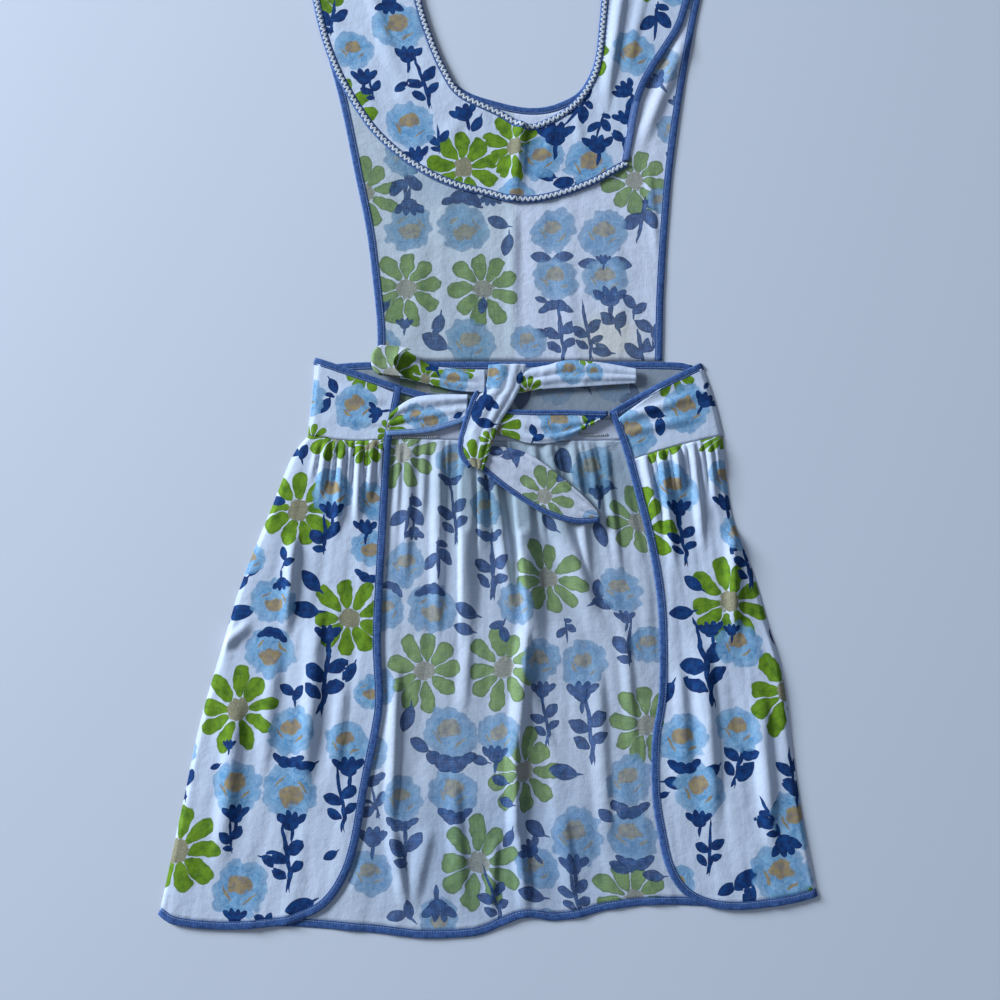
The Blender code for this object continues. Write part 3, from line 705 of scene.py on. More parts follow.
def layCloth(
    name, columns, rows, place, look, node=None, *,
    pattern=None, folds=None, mapping=None, thick=wall, other=None, trim=False,
):
    # a thin closed shell on a grid: place(column, row) gives its underside, or the upper side of a trim
    # its print follows a pattern, or mapping(column, row) gives its map; other is the look of its underside
    mesh = bpy.data.meshes.new(name)
    grid = bmesh.new()
    bmesh.ops.create_grid(grid, x_segments=columns, y_segments=rows, size=0.5)
    cells = {}
    for corner in grid.verts:
        column = round((corner.co.x + 0.5) * columns)
        row = round((0.5 - corner.co.y) * rows)
        corner.co = Vector(place(column, row)) * mm
        cells[corner] = (column, row)
    grid.normal_update()
    if sum(face.normal.z * face.calc_area() for face in grid.faces) < 0:
        bmesh.ops.reverse_faces(grid, faces=grid.faces)
    clothMap = grid.loops.layers.uv.new("cloth")
    if pattern:
        mapPrint(grid, clothMap, pattern, folds)
    for face in grid.faces:
        face.smooth = True
        for loop in face.loops:
            if mapping:
                loop[clothMap].uv = mapping(*cells[loop.vert])
    grid.to_mesh(mesh)
    grid.free()
    piece = addObject(name, mesh)
    mesh.materials.append(looks[look])
    shell = piece.modifiers.new("Wall", "SOLIDIFY")
    shell.thickness = thick * mm
    shell.offset = -1 if trim else 1
    if other:
        mesh.materials.append(looks[other])
        shell.material_offset = 1
        shell.material_offset_rim = 1
    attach(piece, "root")
    if node:
        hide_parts(node)
    return piece


def rolledSheet(surface, outer, front, columns, rows, height, ease=1.0):
    # its outer side rolls down to the surface over the first few columns
    def place(column, row):
        v = (row / rows) ** ease
        width = (front.at(v) - outer.at(v)).length
        shares = spread((rollSteps, roll / width), (columns - rollSteps, 1.0))
        point = surface(shares[column], v)
        return point.x, point.y, height(point.x, point.y)

    return place


def ringSheet(inner, outer, innerShares, outerShares, rows, height):
    # its rows run round a neck, from the inner line to the outer one
    def place(column, row):
        point = inner.at(innerShares[column]).lerp(outer.at(outerShares[column]), row / rows)
        return point.x, point.y, height(point.x, point.y)

    return place


# profile, columns: share of the width from the fold, height over the panel
biasTape = dict(
    stepLength=2.6, pucker=0.12, puckerLength=5.0,
    profile=[
        (0.0, 0.05), (0.02, 0.45), (0.08, 0.85), (0.2, 1.12), (0.4, 1.22), (0.6, 1.22), (0.76, 1.12),
        (0.84, 1.02), (0.94, 1.12), (1.0, 0.95),
    ],
)


def bind(name, edge, inward, height, node, width=binding, look="bias"):
    # bias binding over an edge; its panel lies left (1) or right (-1) of the edge's direction
    profile = biasTape["profile"]
    steps = max(int(edge.length / biasTape["stepLength"]), 8)

    def place(column, row):
        share = column / steps
        across, rise = profile[row]
        spot = Vector((share * edge.length / biasTape["puckerLength"], row * 0.4, len(name)))
        pucker = biasTape["pucker"] * noise.noise(spot)
        side = edge.leftOf(share) * inward
        point = edge.at(share) + side * (across * width)
        inner = edge.at(share) + side * width
        level = height(point.x, point.y) * (1 - across) + height(inner.x, inner.y) * across
        return point.x, point.y, level + rise + pucker * min(1, 3 * across)

    def mapping(column, row):
        return column / steps * edge.length * mm, profile[row][0] * width * mm

    return layCloth(
        name, steps, len(profile) - 1, place, look, node, mapping=mapping, thick=bindingWall, trim=True,
    )


# profile, columns: share of the half width, height over the binding
rickrack = dict(
    pitch=5.0, swing=1.45, width=2.3, perWave=10, level=1.36, fullness=1.3,
    profile=[(-1.0, 0.0), (-0.7, 0.42), (0.0, 0.55), (0.7, 0.42), (1.0, 0.0)],
)


def trimWithRickrack(name, edge, inward, height, node):
    # white zigzag braid along the middle of a binding
    waves = round(edge.length / rickrack["pitch"])
    steps = waves * rickrack["perWave"]
    profile = rickrack["profile"]
    middle = edge.moved(inward * binding / 2, count=240)

    def centre(share):
        swing = rickrack["swing"] * math.sin(share * waves * math.tau)
        return middle.at(share) + middle.leftOf(share) * swing

    def place(column, row):
        share = column / steps
        ahead = centre(min(share + 0.3 / steps, 1)) - centre(max(share - 0.3 / steps, 0))
        side = Vector((-ahead.y, ahead.x)).normalized()
        aside, rise = profile[row]
        point = centre(share) + side * aside * rickrack["width"] / 2
        base = middle.at(share)
        return point.x, point.y, height(base.x, base.y) + rickrack["level"] + rise

    def mapping(column, row):
        along = column / steps * edge.length * rickrack["fullness"]
        return along * mm, profile[row][0] * rickrack["width"] / 2 * mm

    return layCloth(
        name, steps, len(profile) - 1, place, "braid", node, mapping=mapping, thick=braidWall, trim=True,
    )


print("outlines")
sideLeft = Line([
    (-164, -38), (-178, -58), (-196, -107), (-220, -173), (-235, -230), (-251, -292), (-264, -365),
    (-281, -453),
])
sideRight = Line([
    (212, -38), (214, -74), (219, -115), (235, -162), (247, -209), (258, -253), (268, -355), (281, -438),
])
edgeLeft = Line([
    (-79, 8), (-83, -16), (-88, -42), (-90, -80), (-93, -151), (-95, -222), (-92, -271), (-95, -299),
    (-103, -341), (-112, -396), (-122, -425), (-138, -446), (-159, -457), (-180, -462), (-225, -465),
    (-265, -461), (-281, -453),
])
edgeRight = Line([
    (109, -16), (121, -51), (132, -94), (144, -147), (150, -201), (149, -265), (142, -308), (141, -354),
    (146, -390), (152, -415), (164, -434), (183, -445), (208, -449), (236, -447), (262, -443), (281, -438),
])
frontHem = Line([
    (-275, -451), (-220, -462), (-160, -463), (-94, -468), (-54, -472), (-10, -470), (12, -462), (28, -456),
    (42, -456), (56, -458), (80, -455), (104, -449), (146, -445), (208, -446), (275, -437),
])
edges = dict(
    seamLeft=[(-164, -38), (-127, -43), (-88, -42)], seamRight=[(126, -60), (173, -47), (212, -38)],
    bandLeft=[(-159, 35), (-118, 21), (-79, 8)], bandRight=[(109, -16), (152, 9), (194, 30)],
    bandEndLeft=[(-159, 35), (-161, 0), (-164, -38)], bandEndRight=[(194, 30), (205, -5), (212, -38)],
    frontTop=[(-152, 28), (-103, 31), (28, 31), (159, 31), (186, 28)],
    frontSeam=[(-158, -40), (-81, -41), (28, -43), (128, -42), (206, -40)],
)

print("front skirt")
frontSkirt = dict(
    columns=236, rows=112, sideColumns=16, middle=(0.18, 0.82),    # finest between the back panels
    wrinkles=1.6, crumples=0.5, level=0.2, tailLevel=4.6, tailFoot=-125,
    folds=[
        (-80, -42, -83, -125, 4.5, 1.2), (-70, -42, -75, -190, 8.0, 2.2), (-57, -42, -60, -130, 6.0, 1.7),
        (-44, -44, -46, -245, 9.0, 3.8), (-24, -52, -23, -250, -17.0, 6.4),
        (-9, -44, -8, -172, -11.0, 4.2), (1, -46, 23, -210, 9.0, 5.6), (24, -78, 39, -262, -18.0, 7.6),
        (40, -42, 52, -150, 7.0, 2.4), (54, -42, 68, -120, 8.0, 3.0), (58, -96, 102, -225, 17.0, 4.4),
        (76, -42, 92, -190, 8.0, 3.2), (90, -42, 106, -150, 6.0, 2.2), (104, -44, 120, -190, 7.0, 2.4),
        (-66, -42, -68, -78, 2.6, 1.2), (-48, -42, -50, -84, 2.8, 1.3), (-37, -42, -38, -90, 2.8, 1.4),
        (-20, -42, -18, -82, 2.6, 1.4), (-1, -42, 6, -92, 2.8, 1.4), (17, -42, 25, -84, 2.6, 1.3),
        (38, -42, 46, -88, 2.8, 1.2), (60, -42, 69, -84, 2.6, 1.3), (72, -42, 82, -90, 2.8, 1.3),
        (82, -42, 93, -86, 2.6, 1.2), (93, -42, 104, -84, 2.6, 1.1), (102, -42, 112, -82, 2.4, 1.0),
        (35, -205, 23, -345, 12.0, 7.0), (23, -300, 25, -420, 10.0, 6.4), (25, -380, 34, -458, 10.0, 5.0),
        (-80, -250, -84, -405, 9.0, 4.4), (-84, -380, -66, -458, 9.0, 3.8),
        (30, -250, 62, -330, 11.0, 1.8), (-52, -385, -66, -455, 12.0, 2.4),
        (-30, -345, -20, -455, 12.0, 2.6), (96, -250, 104, -425, 12.0, 2.4),
        (120, -210, 128, -330, 9.0, 2.0), (-16, -205, -24, -300, 10.0, 1.8),
        (64, -372, 74, -452, 11.0, 2.0), (6, -392, 2, -462, 8.0, 2.2),
    ],
    daisies=[
        (-78, -54, 10, 35), (52, -167, 30, 36), (-56, -249, 5, 36), (14, -246, 24, 36), (30, -334, 0, 37),
        (-9, -411, 15, 39), (138, -295, 12, 36), (124, -441, 30, 35), (134, -117, 20, 33),
        (-150, -300, 0, 36), (-205, -190, 8, 35), (-200, -410, 14, 36), (206, -250, 3, 36),
        (230, -400, 20, 36),
    ],
    roses=[
        (-74, -155, 0, 21), (-50, -194, 180, 25), (-91, -196, 10, 19), (-34, -62, 0, 18),
        (-3, -105, 0, 18), (25, -190, 0, 20), (117, -178, 0, 21), (93, -70, 0, 24), (140, -226, 0, 18),
        (45, -240, 0, 21), (84, -243, 0, 22), (-33, -303, 0, 25), (10, -304, 0, 21), (-75, -358, 0, 21),
        (-30, -352, 0, 23), (-101, -419, 0, 21), (121, -342, 0, 23), (75, -388, 0, 26),
        (123, -388, 0, 24), (-42, -455, 180, 18), (40, -414, 0, 20), (-98, -262, 0, 19),
        (52, -460, 0, 14), (-104, -318, 0, 18),
    ],
    crowns=[
        (-35, -79, 0, 12, "saucer"), (-67, -126, 180, 10), (-51, -178, 180, 14, "saucer"),
        (0, -129, 0, 13, "saucer"), (0, -84, 0, 12), (-86, -176, 160, 11, "saucer"), (99, -92, 0, 12),
        (121, -203, 0, 10), (47, -266, 0, 12), (82, -268, 0, 15), (-33, -326, 0, 20, "saucer"),
        (6, -321, 0, 13), (-75, -378, 0, 14, "saucer"), (-29, -371, 0, 16, "saucer"), (-99, -391, 0, 14),
        (121, -366, 0, 17, "saucer"), (73, -413, 0, 14), (126, -410, 0, 15, "saucer"),
        (-42, -447, 180, 16), (36, -400, 40, 13), (-104, -341, 0, 14, "saucer"),
    ],
    stems=[
        (-32, -108, 4, 26, "long"), (-72, -110, 175, 20, "short"), (-45, -148, 184, 18, "short"),
        (3, -157, -6, 27, "long"), (-20, -196, -28, 12, "leaf"), (-22, -212, -20, 10, "leaf"),
        (11, -212, 160, 12, "pair"), (66, -61, -52, 15, "leaf"), (100, -128, 100, 12, "leaf"),
        (85, -80, 60, 6, "leaf"), (107, -84, -20, 8, "leaf"), (123, -226, 6, 20, "short"),
        (98, -184, -55, 16, "pair"), (68, -212, 195, 11, "short"), (49, -288, 8, 22, "long"),
        (88, -296, 4, 28, "long"), (-71, -290, 70, 12, "leaf"), (-60, -312, -35, 10, "leaf"),
        (-8, -325, -20, 8, "leaf"), (10, -342, -20, 8, "leaf"), (16, -360, -20, 8, "leaf"),
        (-71, -398, 6, 20, "short"), (-97, -362, 20, 14, "short"), (101, -371, -35, 9, "leaf"),
        (73, -434, 0, 22, "long"), (112, -414, -25, 9, "leaf"), (141, -421, -8, 9, "leaf"),
        (65, -335, -12, 13, "leaf"), (40, -382, -35, 11, "leaf"), (4, -438, 12, 22, "long"),
        (-72, -452, 60, 14, "pair"), (54, -118, -50, 10, "leaf"), (36, -436, -20, 12, "leaf"),
        (-100, -365, 80, 12, "pair"), (18, -390, 60, 9, "leaf"),
    ],
)


def frontHeight(x, y):
    # flat where a back panel lies on it
    fromLeft = x - edgeLeft.xAtY(max(y, leftCorner))
    fromRight = edgeRight.xAtY(max(y, rightCorner)) - x
    clear = softStep((min(fromLeft, fromRight) - 1.5) / 8)
    if clear == 0:
        return 0.0
    uneven = frontSkirt["wrinkles"] * wrinkle(x, y, 2.0, 15.0, 85.0, 0.1 * (x - 20) / 120)
    uneven += frontSkirt["crumples"] * crumple(x, y, 26, 5.0)
    height = frontSkirt["shape"].read(x, y)[0]
    height += uneven + frontSkirt["level"]
    tail = frontSkirt["tailLevel"]
    if y > frontSkirt["tailFoot"] and height > tail:
        # pressed down by the tie's tail
        over = height - tail
        height = tail + over / (1 + over)
    return clear * max(height, 0.0)


def makeFrontSkirt():
    columns, rows, ends = frontSkirt["columns"], frontSkirt["rows"], frontSkirt["sideColumns"]
    low, high = frontSkirt["middle"]
    frontSkirt["shape"] = Folds(frontSkirt["folds"])
    shares = spread((ends, low), (columns - 2 * ends, high), (ends, 1.0))
    inset = roll + 0.3
    hem = frontHem.moved(bound)
    seam = Line([(x, y - seamGap) for x, y in edges["frontSeam"]])
    left = Line([seam.at(0)] + [(p.x + inset, p.y) for p in sideLeft.points[8:-8:8]] + [hem.at(0)])
    right = Line([seam.at(1)] + [(p.x - inset, p.y) for p in sideRight.points[8:-8:8]] + [hem.at(1)])
    surface = patch(seam, hem, left, right)

    def place(column, row):
        point = surface(shares[column], (row / rows) ** 1.15)
        return point.x, point.y, frontHeight(point.x, point.y)

    piece = layCloth(
        "frontSkirt", columns, rows, place, "skirt", "front_skirt", pattern=Pattern(frontSkirt),
        folds=frontSkirt["shape"], other="right",
    )
    hemBinding = bind("frontHemBinding", frontHem, 1, frontHeight, "binding_front_hem")
    return piece


skirt = makeFrontSkirt()

print("back skirt panels")
backCloth = dict(columns=56, rows=104, fullness=1.3, wrinkles=1.3, crumples=0.35, bindingStart=2)
# corner: level at which the front edge has turned into the hem
backSkirts = dict(
    left=dict(
        edge=edgeLeft, inward=-1, side=sideLeft, seam=edges["seamLeft"], corner=-430,
        flat=(0.16, 0.42), area=0.056, lean=-0.12,
        folds=[
            (-146, -44, -152, -100, 6.0, 3.4), (-131, -44, -136, -140, 6.5, 3.9),
            (-116, -44, -118, -128, 6.0, 3.6), (-104, -44, -108, -105, 5.5, 2.6),
            (-173, -130, -178, -228, 9.0, 4.2), (-236, -228, -206, -203, 7.0, 2.9),
            (-150, -200, -160, -380, 14.0, 3.4), (-218, -280, -228, -430, 14.0, 3.1),
            (-154, -44, -160, -82, 3.4, 1.8), (-139, -44, -143, -92, 3.2, 2.1),
            (-124, -44, -127, -96, 3.4, 2.1), (-110, -44, -112, -80, 3.0, 1.7),
            (-97, -46, -99, -84, 3.0, 1.4), (-186, -240, -196, -350, 12.0, 1.8),
            (-126, -260, -134, -360, 10.0, 1.7),
        ],
        daisies=[
            (-171, -107, 8, 37), (-123, -203, 20, 37), (-218, -282, 12, 37), (-266, -400, 0, 40),
            (-139, -36, 20, 30), (-106, -48, 0, 22), (-90, -262, 0, 20),
        ],
        roses=[
            (-139, -90, 0, 23), (-103, -98, 0, 18), (-106, -140, 180, 18), (-213, -150, 0, 16),
            (-190, -188, 180, 22), (-192, -232, 180, 24), (-171, -300, 0, 23), (-124, -310, 0, 21),
            (-171, -351, 180, 26), (-217, -347, 0, 24), (-211, -432, 0, 26), (-103, -266, 180, 16),
            (-266, -316, 0, 14), (-108, -417, 0, 17),
        ],
        crowns=[
            (-140, -108, 0, 13), (-110, -123, 0, 12), (-107, -166, -12, 12, "saucer"),
            (-183, -171, 186, 10), (-190, -217, 168, 13, "saucer"), (-142, -218, 0, 13),
            (-173, -325, 0, 14, "saucer"), (-121, -332, 0, 15), (-217, -371, 0, 13), (-169, -377, 0, 14),
            (-215, -455, 0, 11), (-224, -312, 0, 7),
        ],
        stems=[
            (-146, -130, 12, 18, "short"), (-172, -54, 30, 12, "pair"), (-190, -98, 170, 8, "leaf"),
            (-180, -150, -20, 11, "pair"), (-222, -172, 30, 10, "leaf"), (-221, -198, 15, 13, "leaf"),
            (-233, -206, 60, 8, "leaf"), (-163, -195, -12, 14, "leaf"), (-158, -170, -50, 12, "leaf"),
            (-143, -250, -6, 32, "long"), (-122, -250, 60, 10, "leaf"), (-171, -267, 18, 13, "pair"),
            (-264, -345, 20, 16, "short"), (-159, -331, 16, 11, "leaf"), (-127, -357, 4, 24, "long"),
            (-220, -389, 10, 14, "short"), (-173, -404, 4, 27, "long"), (-186, -409, 150, 9, "leaf"),
            (-135, -404, 25, 7, "leaf"), (-160, -446, 18, 13, "leaf"), (-190, -456, 30, 9, "pair"),
            (-208, -158, 60, 9, "leaf"), (-236, -330, 20, 5, "leaf"),
        ],
    ),
    right=dict(
        edge=edgeRight, inward=1, side=sideRight, seam=edges["seamRight"][::-1], corner=-420,
        flat=(0.13, 0.41), area=0.045, lean=0.08,
        folds=[
            (140, -54, 154, -135, 6.5, 3.4), (155, -50, 166, -165, 6.5, 3.9),
            (169, -48, 172, -95, 6.0, 4.4), (184, -46, 192, -150, 6.5, 3.6),
            (199, -44, 203, -110, 6.0, 2.9), (218, -125, 217, -235, 9.0, 3.9),
            (190, -230, 196, -400, 14.0, 3.4), (238, -270, 244, -410, 12.0, 2.9),
            (147, -53, 155, -92, 3.2, 1.8), (162, -50, 168, -104, 3.4, 2.1),
            (176, -47, 181, -90, 3.2, 2.0), (191, -45, 197, -98, 3.4, 2.0),
            (205, -44, 208, -84, 3.0, 1.6), (168, -250, 172, -350, 10.0, 1.7),
        ],
        daisies=[
            (154, -40, 12, 28), (134, -121, 0, 36), (212, -188, 24, 38), (262, -266, 12, 40),
            (212, -34, 0, 24), (120, -292, 0, 34), (262, -452, 20, 26),
        ],
        roses=[
            (166, -86, 0, 25), (214, -78, 0, 18), (222, -128, 0, 17), (220, -226, 0, 22),
            (169, -308, 0, 24), (217, -299, 0, 21), (182, -350, 0, 24), (266, -374, 0, 26),
            (250, -420, 0, 27), (161, -428, 0, 17),
        ],
        crowns=[
            (170, -106, 0, 13), (212, -101, 0, 12), (170, -330, 4, 14, "saucer"), (181, -375, 0, 12),
            (265, -350, 0, 12), (253, -394, 200, 15), (196, -214, 10, 12), (214, -214, 0, 9),
            (163, -444, 0, 8),
        ],
        stems=[
            (172, -131, 4, 22, "long"), (229, -152, 8, 22, "long"), (181, -172, -40, 10, "leaf"),
            (170, -198, 4, 11, "leaf"), (189, -242, 12, 34, "long"), (180, -260, -28, 12, "leaf"),
            (253, -215, 86, 11, "leaf"), (155, -268, 52, 12, "leaf"), (192, -334, 28, 10, "leaf"),
            (161, -344, 170, 10, "leaf"), (189, -398, -6, 20, "long"), (218, -322, -20, 24, "long"),
            (222, -332, 56, 13, "leaf"), (262, -332, 10, 16, "short"), (237, -372, 62, 11, "leaf"),
            (243, -374, 30, 18, "short"), (219, -424, 40, 13, "leaf"), (222, -437, 76, 11, "leaf"),
            (203, -432, 30, 9, "leaf"), (151, -354, 20, 5, "leaf"), (218, -140, 60, 8, "leaf"),
            (188, -445, 20, 8, "pair"),
        ],
    ),
)


def backHeight(panel):
    def height(x, y):
        rise = backLevel + backCloth["fullness"] * panel["shape"].read(x, y)[0]
        uneven = backCloth["wrinkles"] * wrinkle(x, y, 8.0, 12.0, 85.0, panel["lean"])
        rise += uneven + max(backCloth["crumples"] * crumple(x, y, 24, 8.0), 0)
        return rise * softStep(abs(x - panel["side"].xAtY(y)) / roll)

    return height


def makeBackSkirt(side):
    panel = backSkirts[side]
    columns, rows = backCloth["columns"], backCloth["rows"]
    edge, seamPoints = panel["edge"], panel["seam"]
    panel["shape"] = Folds(panel["folds"])
    inner = edge.moved(panel["inward"] * bound, count=240)
    foot = inner.shareAtY(panel["corner"])
    front = inner.part(inner.shareAtY(seamPoints[-1][1] - seamGap), foot, count=160)
    hem = inner.part(1, foot, count=160)
    seam = Line([(x, y - seamGap) for x, y in seamPoints[:-1]] + [front.at(0)])
    outer = Line([seam.at(0)] + panel["side"].points[8:-8:8] + [hem.at(0)])
    height = backHeight(panel)
    place = rolledSheet(patch(seam, hem, outer, front), outer, front, columns, rows, height, ease=1.08)
    piece = layCloth(
        "backSkirt" + side.title(), columns, rows, place, "right", "back_skirt_" + side,
        pattern=Pattern(panel), folds=panel["shape"], other="wrong",
    )
    start = edge.shareAtY(edge.at(0).y - backCloth["bindingStart"])
    bare = edge.part(start, 1, count=200)
    trim = bind("backBinding" + side.title(), bare, panel["inward"], height, "binding_back_" + side)


for side in backSkirts:
    makeBackSkirt(side)

print("waistbands")
waistbands = dict(
    left=dict(
        end=edges["bandEndLeft"], top=edges["bandLeft"], seam=edges["seamLeft"],
        creases=[(-96, -8, -148, 6, 7.0, 1.5), (-92, -28, -140, -24, 6.0, 1.0)],
        daisies=[(-112, 27, 10, 25), (-160, -42, 0, 16), (-90, -36, 0, 13)],
        roses=[(-121, -12, 20, 22), (-168, -2, 0, 20)],
        crowns=[(-102, -17, 98, 11)],
        stems=[
            (-142, 8, 115, 8, "leaf"), (-150, -11, 52, 9, "leaf"), (-145, -1, 160, 5, "leaf"),
            (-87, -21, 0, 4, "leaf"),
        ],
    ),
    right=dict(
        end=edges["bandEndRight"], top=edges["bandRight"][::-1], seam=edges["seamRight"][::-1],
        creases=[
            (116, -24, 206, 6, 7.0, 2.2), (120, -36, 204, -18, 7.0, 1.7), (112, -14, 180, 16, 6.0, 1.5),
        ],
        daisies=[(167, 21, 12, 23)],
        roses=[(179, -14, 0, 24), (130, -36, 0, 23)],
        crowns=[(196, -7, -30, 12)],
        stems=[(150, -17, -22, 10, "leaf"), (155, -30, 92, 9, "leaf"), (198, 8, 60, 4, "leaf")],
    ),
)


def makeWaistband(side):
    band, panel = waistbands[side], backSkirts[side]
    columns, rows = 44, 24
    inner = panel["edge"].moved(panel["inward"] * bound, count=240)
    end = Line(band["end"])
    front = inner.part(inner.shareAtY(panel["edge"].at(0).y - binding), inner.shareAtY(band["seam"][-1][1]))
    boundTop = Line(band["top"]).moved(panel["inward"] * bound)
    outer = end.part(bound / end.length, 1)
    top = Line([outer.at(0), boundTop.at(0.5), front.at(0)])
    seam = Line(band["seam"][:-1] + [front.at(1)])
    creases = Folds(band["creases"])

    def height(x, y):
        rise = backLevel + creases.read(x, y)[0] + 0.35 * max(crumple(x, y, 16, 4.0), 0)
        return rise * softStep(abs(x - end.xAtY(y)) / roll)

    piece = layCloth(
        "waistband" + side.title(), columns, rows,
        rolledSheet(patch(top, seam, outer, front), outer, front, columns, rows, height), "right",
        "back_waistband_" + side, pattern=Pattern(band), thick=doubledWall, other="right",
    )
    return piece, height


def makeWaistbands():
    left, leftHeight = makeWaistband("left")
    right, rightHeight = makeWaistband("right")
    topLeft = Line(edges["bandLeft"] + [(-50, 0), (-22, -1)])    # it runs on under the knot
    topRight = Line(edges["bandRight"])
    leftTrim = bind("waistBindingLeft", topLeft, -1, leftHeight, "binding_waistband_left")
    rightTrim = bind("waistBindingRight", topRight, -1, rightHeight, "binding_waistband_right")


makeWaistbands()

print("bib")
bib = dict(
    wrinkles=0.6, crumples=0.5, level=0.1, yokeFoot=214, strap=44, across=66, rows=58,
    left=[
        (-188, strapTop), (-168, 378), (-143, 288), (-127, 214), (-115, 158), (-107, 100), (-103, 61),
        (-103, 31.8),
    ],
    right=[
        (220, strapTop), (202, 384), (185, 298), (174, 228), (167, 163), (162, 100), (160, 61), (159, 31.8),
    ],
    neck=[
        (-78, strapTop), (-68, 392), (-47, 326), (-25, 299), (8, 286), (39, 280), (66, 285), (90, 303),
        (105, 350), (113, strapTop),
    ],
    folds=[
        (23, 178, 23, 20, 9.0, 1.6), (190, 352, 135, 222, 11.0, 3.4), (150, 216, 158, 120, 7.0, 1.2),
        (-60, 150, -70, 40, 16.0, 0.8), (70, 140, 78, 34, 14.0, 0.9), (118, 150, 124, 40, 12.0, 0.8),
        (-20, 130, -14, 40, 12.0, 0.6),
    ],
    daisies=[
        (-77, 100, 8, 37), (-5, 100, 20, 37), (-118, 194, 14, 36), (137, 206, 30, 35), (-152, 330, 0, 30),
    ],
    roses=[
        (-75, 160, 180, 24), (-24, 160, 180, 26), (60, 157, 0, 23), (107, 154, 0, 25), (62, 110, 0, 23),
        (108, 111, 0, 24), (-17, 49, 0, 24), (36, 50, 0, 18), (-100, 46, 0, 20), (160, 186, 0, 14),
        (165, 322, 0, 20), (174, 256, 0, 17), (-80, 230, 0, 20), (180, 400, 0, 24),
    ],
    crowns=[
        (-75, 182, 180, 15), (-24, 187, 176, 19, "saucer"), (106, 128, 0, 8), (62, 83, 180, 15, "saucer"),
        (112, 91, 0, 17), (-78, 66, 0, 9), (0, 190, 180, 12), (182, 285, 20, 12), (160, 306, 40, 13),
    ],
    stems=[
        (-79, 204, 186, 20, "short"), (8, 165, -25, 11, "leaf"), (17, 143, 76, 11, "leaf"),
        (-47, 66, 70, 11, "leaf"), (-50, 50, -30, 14, "leaf"), (66, 58, 0, 26, "long"),
        (90, 60, 4, 24, "long"), (115, 70, 25, 16, "pair"), (134, 84, 0, 14, "pair"),
        (149, 62, 16, 16, "pair"), (140, 42, 10, 20, "short"), (143, 170, 176, 22, "short"),
        (-99, 82, 40, 9, "leaf"), (-101, 64, -60, 9, "leaf"), (102, 42, -20, 11, "leaf"),
        (48, 58, -12, 8, "leaf"), (-6, 84, 80, 8, "leaf"), (48, 90, -20, 6, "leaf"),
        (48, 131, -8, 10, "leaf"), (69, 131, 188, 10, "leaf"), (92, 125, 4, 10, "leaf"),
        (121, 125, 168, 12, "leaf"), (58, 122, 0, 4, "leaf"), (178, 230, 10, 14, "short"),
    ],
)


def bibHeight(x, y):
    # flat under the yoke
    rise = bib["shape"].read(x, y)[0] + bib["crumples"] * max(crumple(x, y, 30, 6.0), 0) + bib["level"]
    rise += bib["wrinkles"] * wrinkle(x, y, 6.0, 17.0, 90.0)
    under = softStep((bib["yokeFoot"] - y) / 20) if -150 < x < 125 else 1.0
    return rise * under


def makeBib():
    strap, across, rows = bib["strap"], bib["across"], bib["rows"]
    bib["shape"] = Folds(bib["folds"])
    leftEdge, rightEdge, neck = Line(bib["left"]), Line(bib["right"]), Line(bib["neck"])
    left, right = leftEdge.moved(bound), rightEdge.moved(-bound)
    outer = Line(left.points + right.points[::-1], spans=1)
    corner, farCorner = left.length / outer.length, 1 - right.length / outer.length
    outerShares = spread((strap, corner), (across, farCorner), (strap, 1.0))
    innerShares = spread((strap, 0.42), (across, 0.60), (strap, 1.0))
    place = ringSheet(neck.moved(-bound), outer, innerShares, outerShares, rows, bibHeight)
    piece = layCloth(
        "bib", len(outerShares) - 1, rows, place, "bib", "front_bib", pattern=Pattern(bib),
        folds=bib["shape"], other="right",
    )
    trims = [
        bind("bibBindingLeft", leftEdge, 1, bibHeight, "binding_bib_left"),
        bind("bibBindingRight", rightEdge, -1, bibHeight, "binding_bib_right"),
        bind("neckBindingFront", neck, -1, bibHeight, "binding_neck_front"),
    ]
    return piece


bibPiece = makeBib()

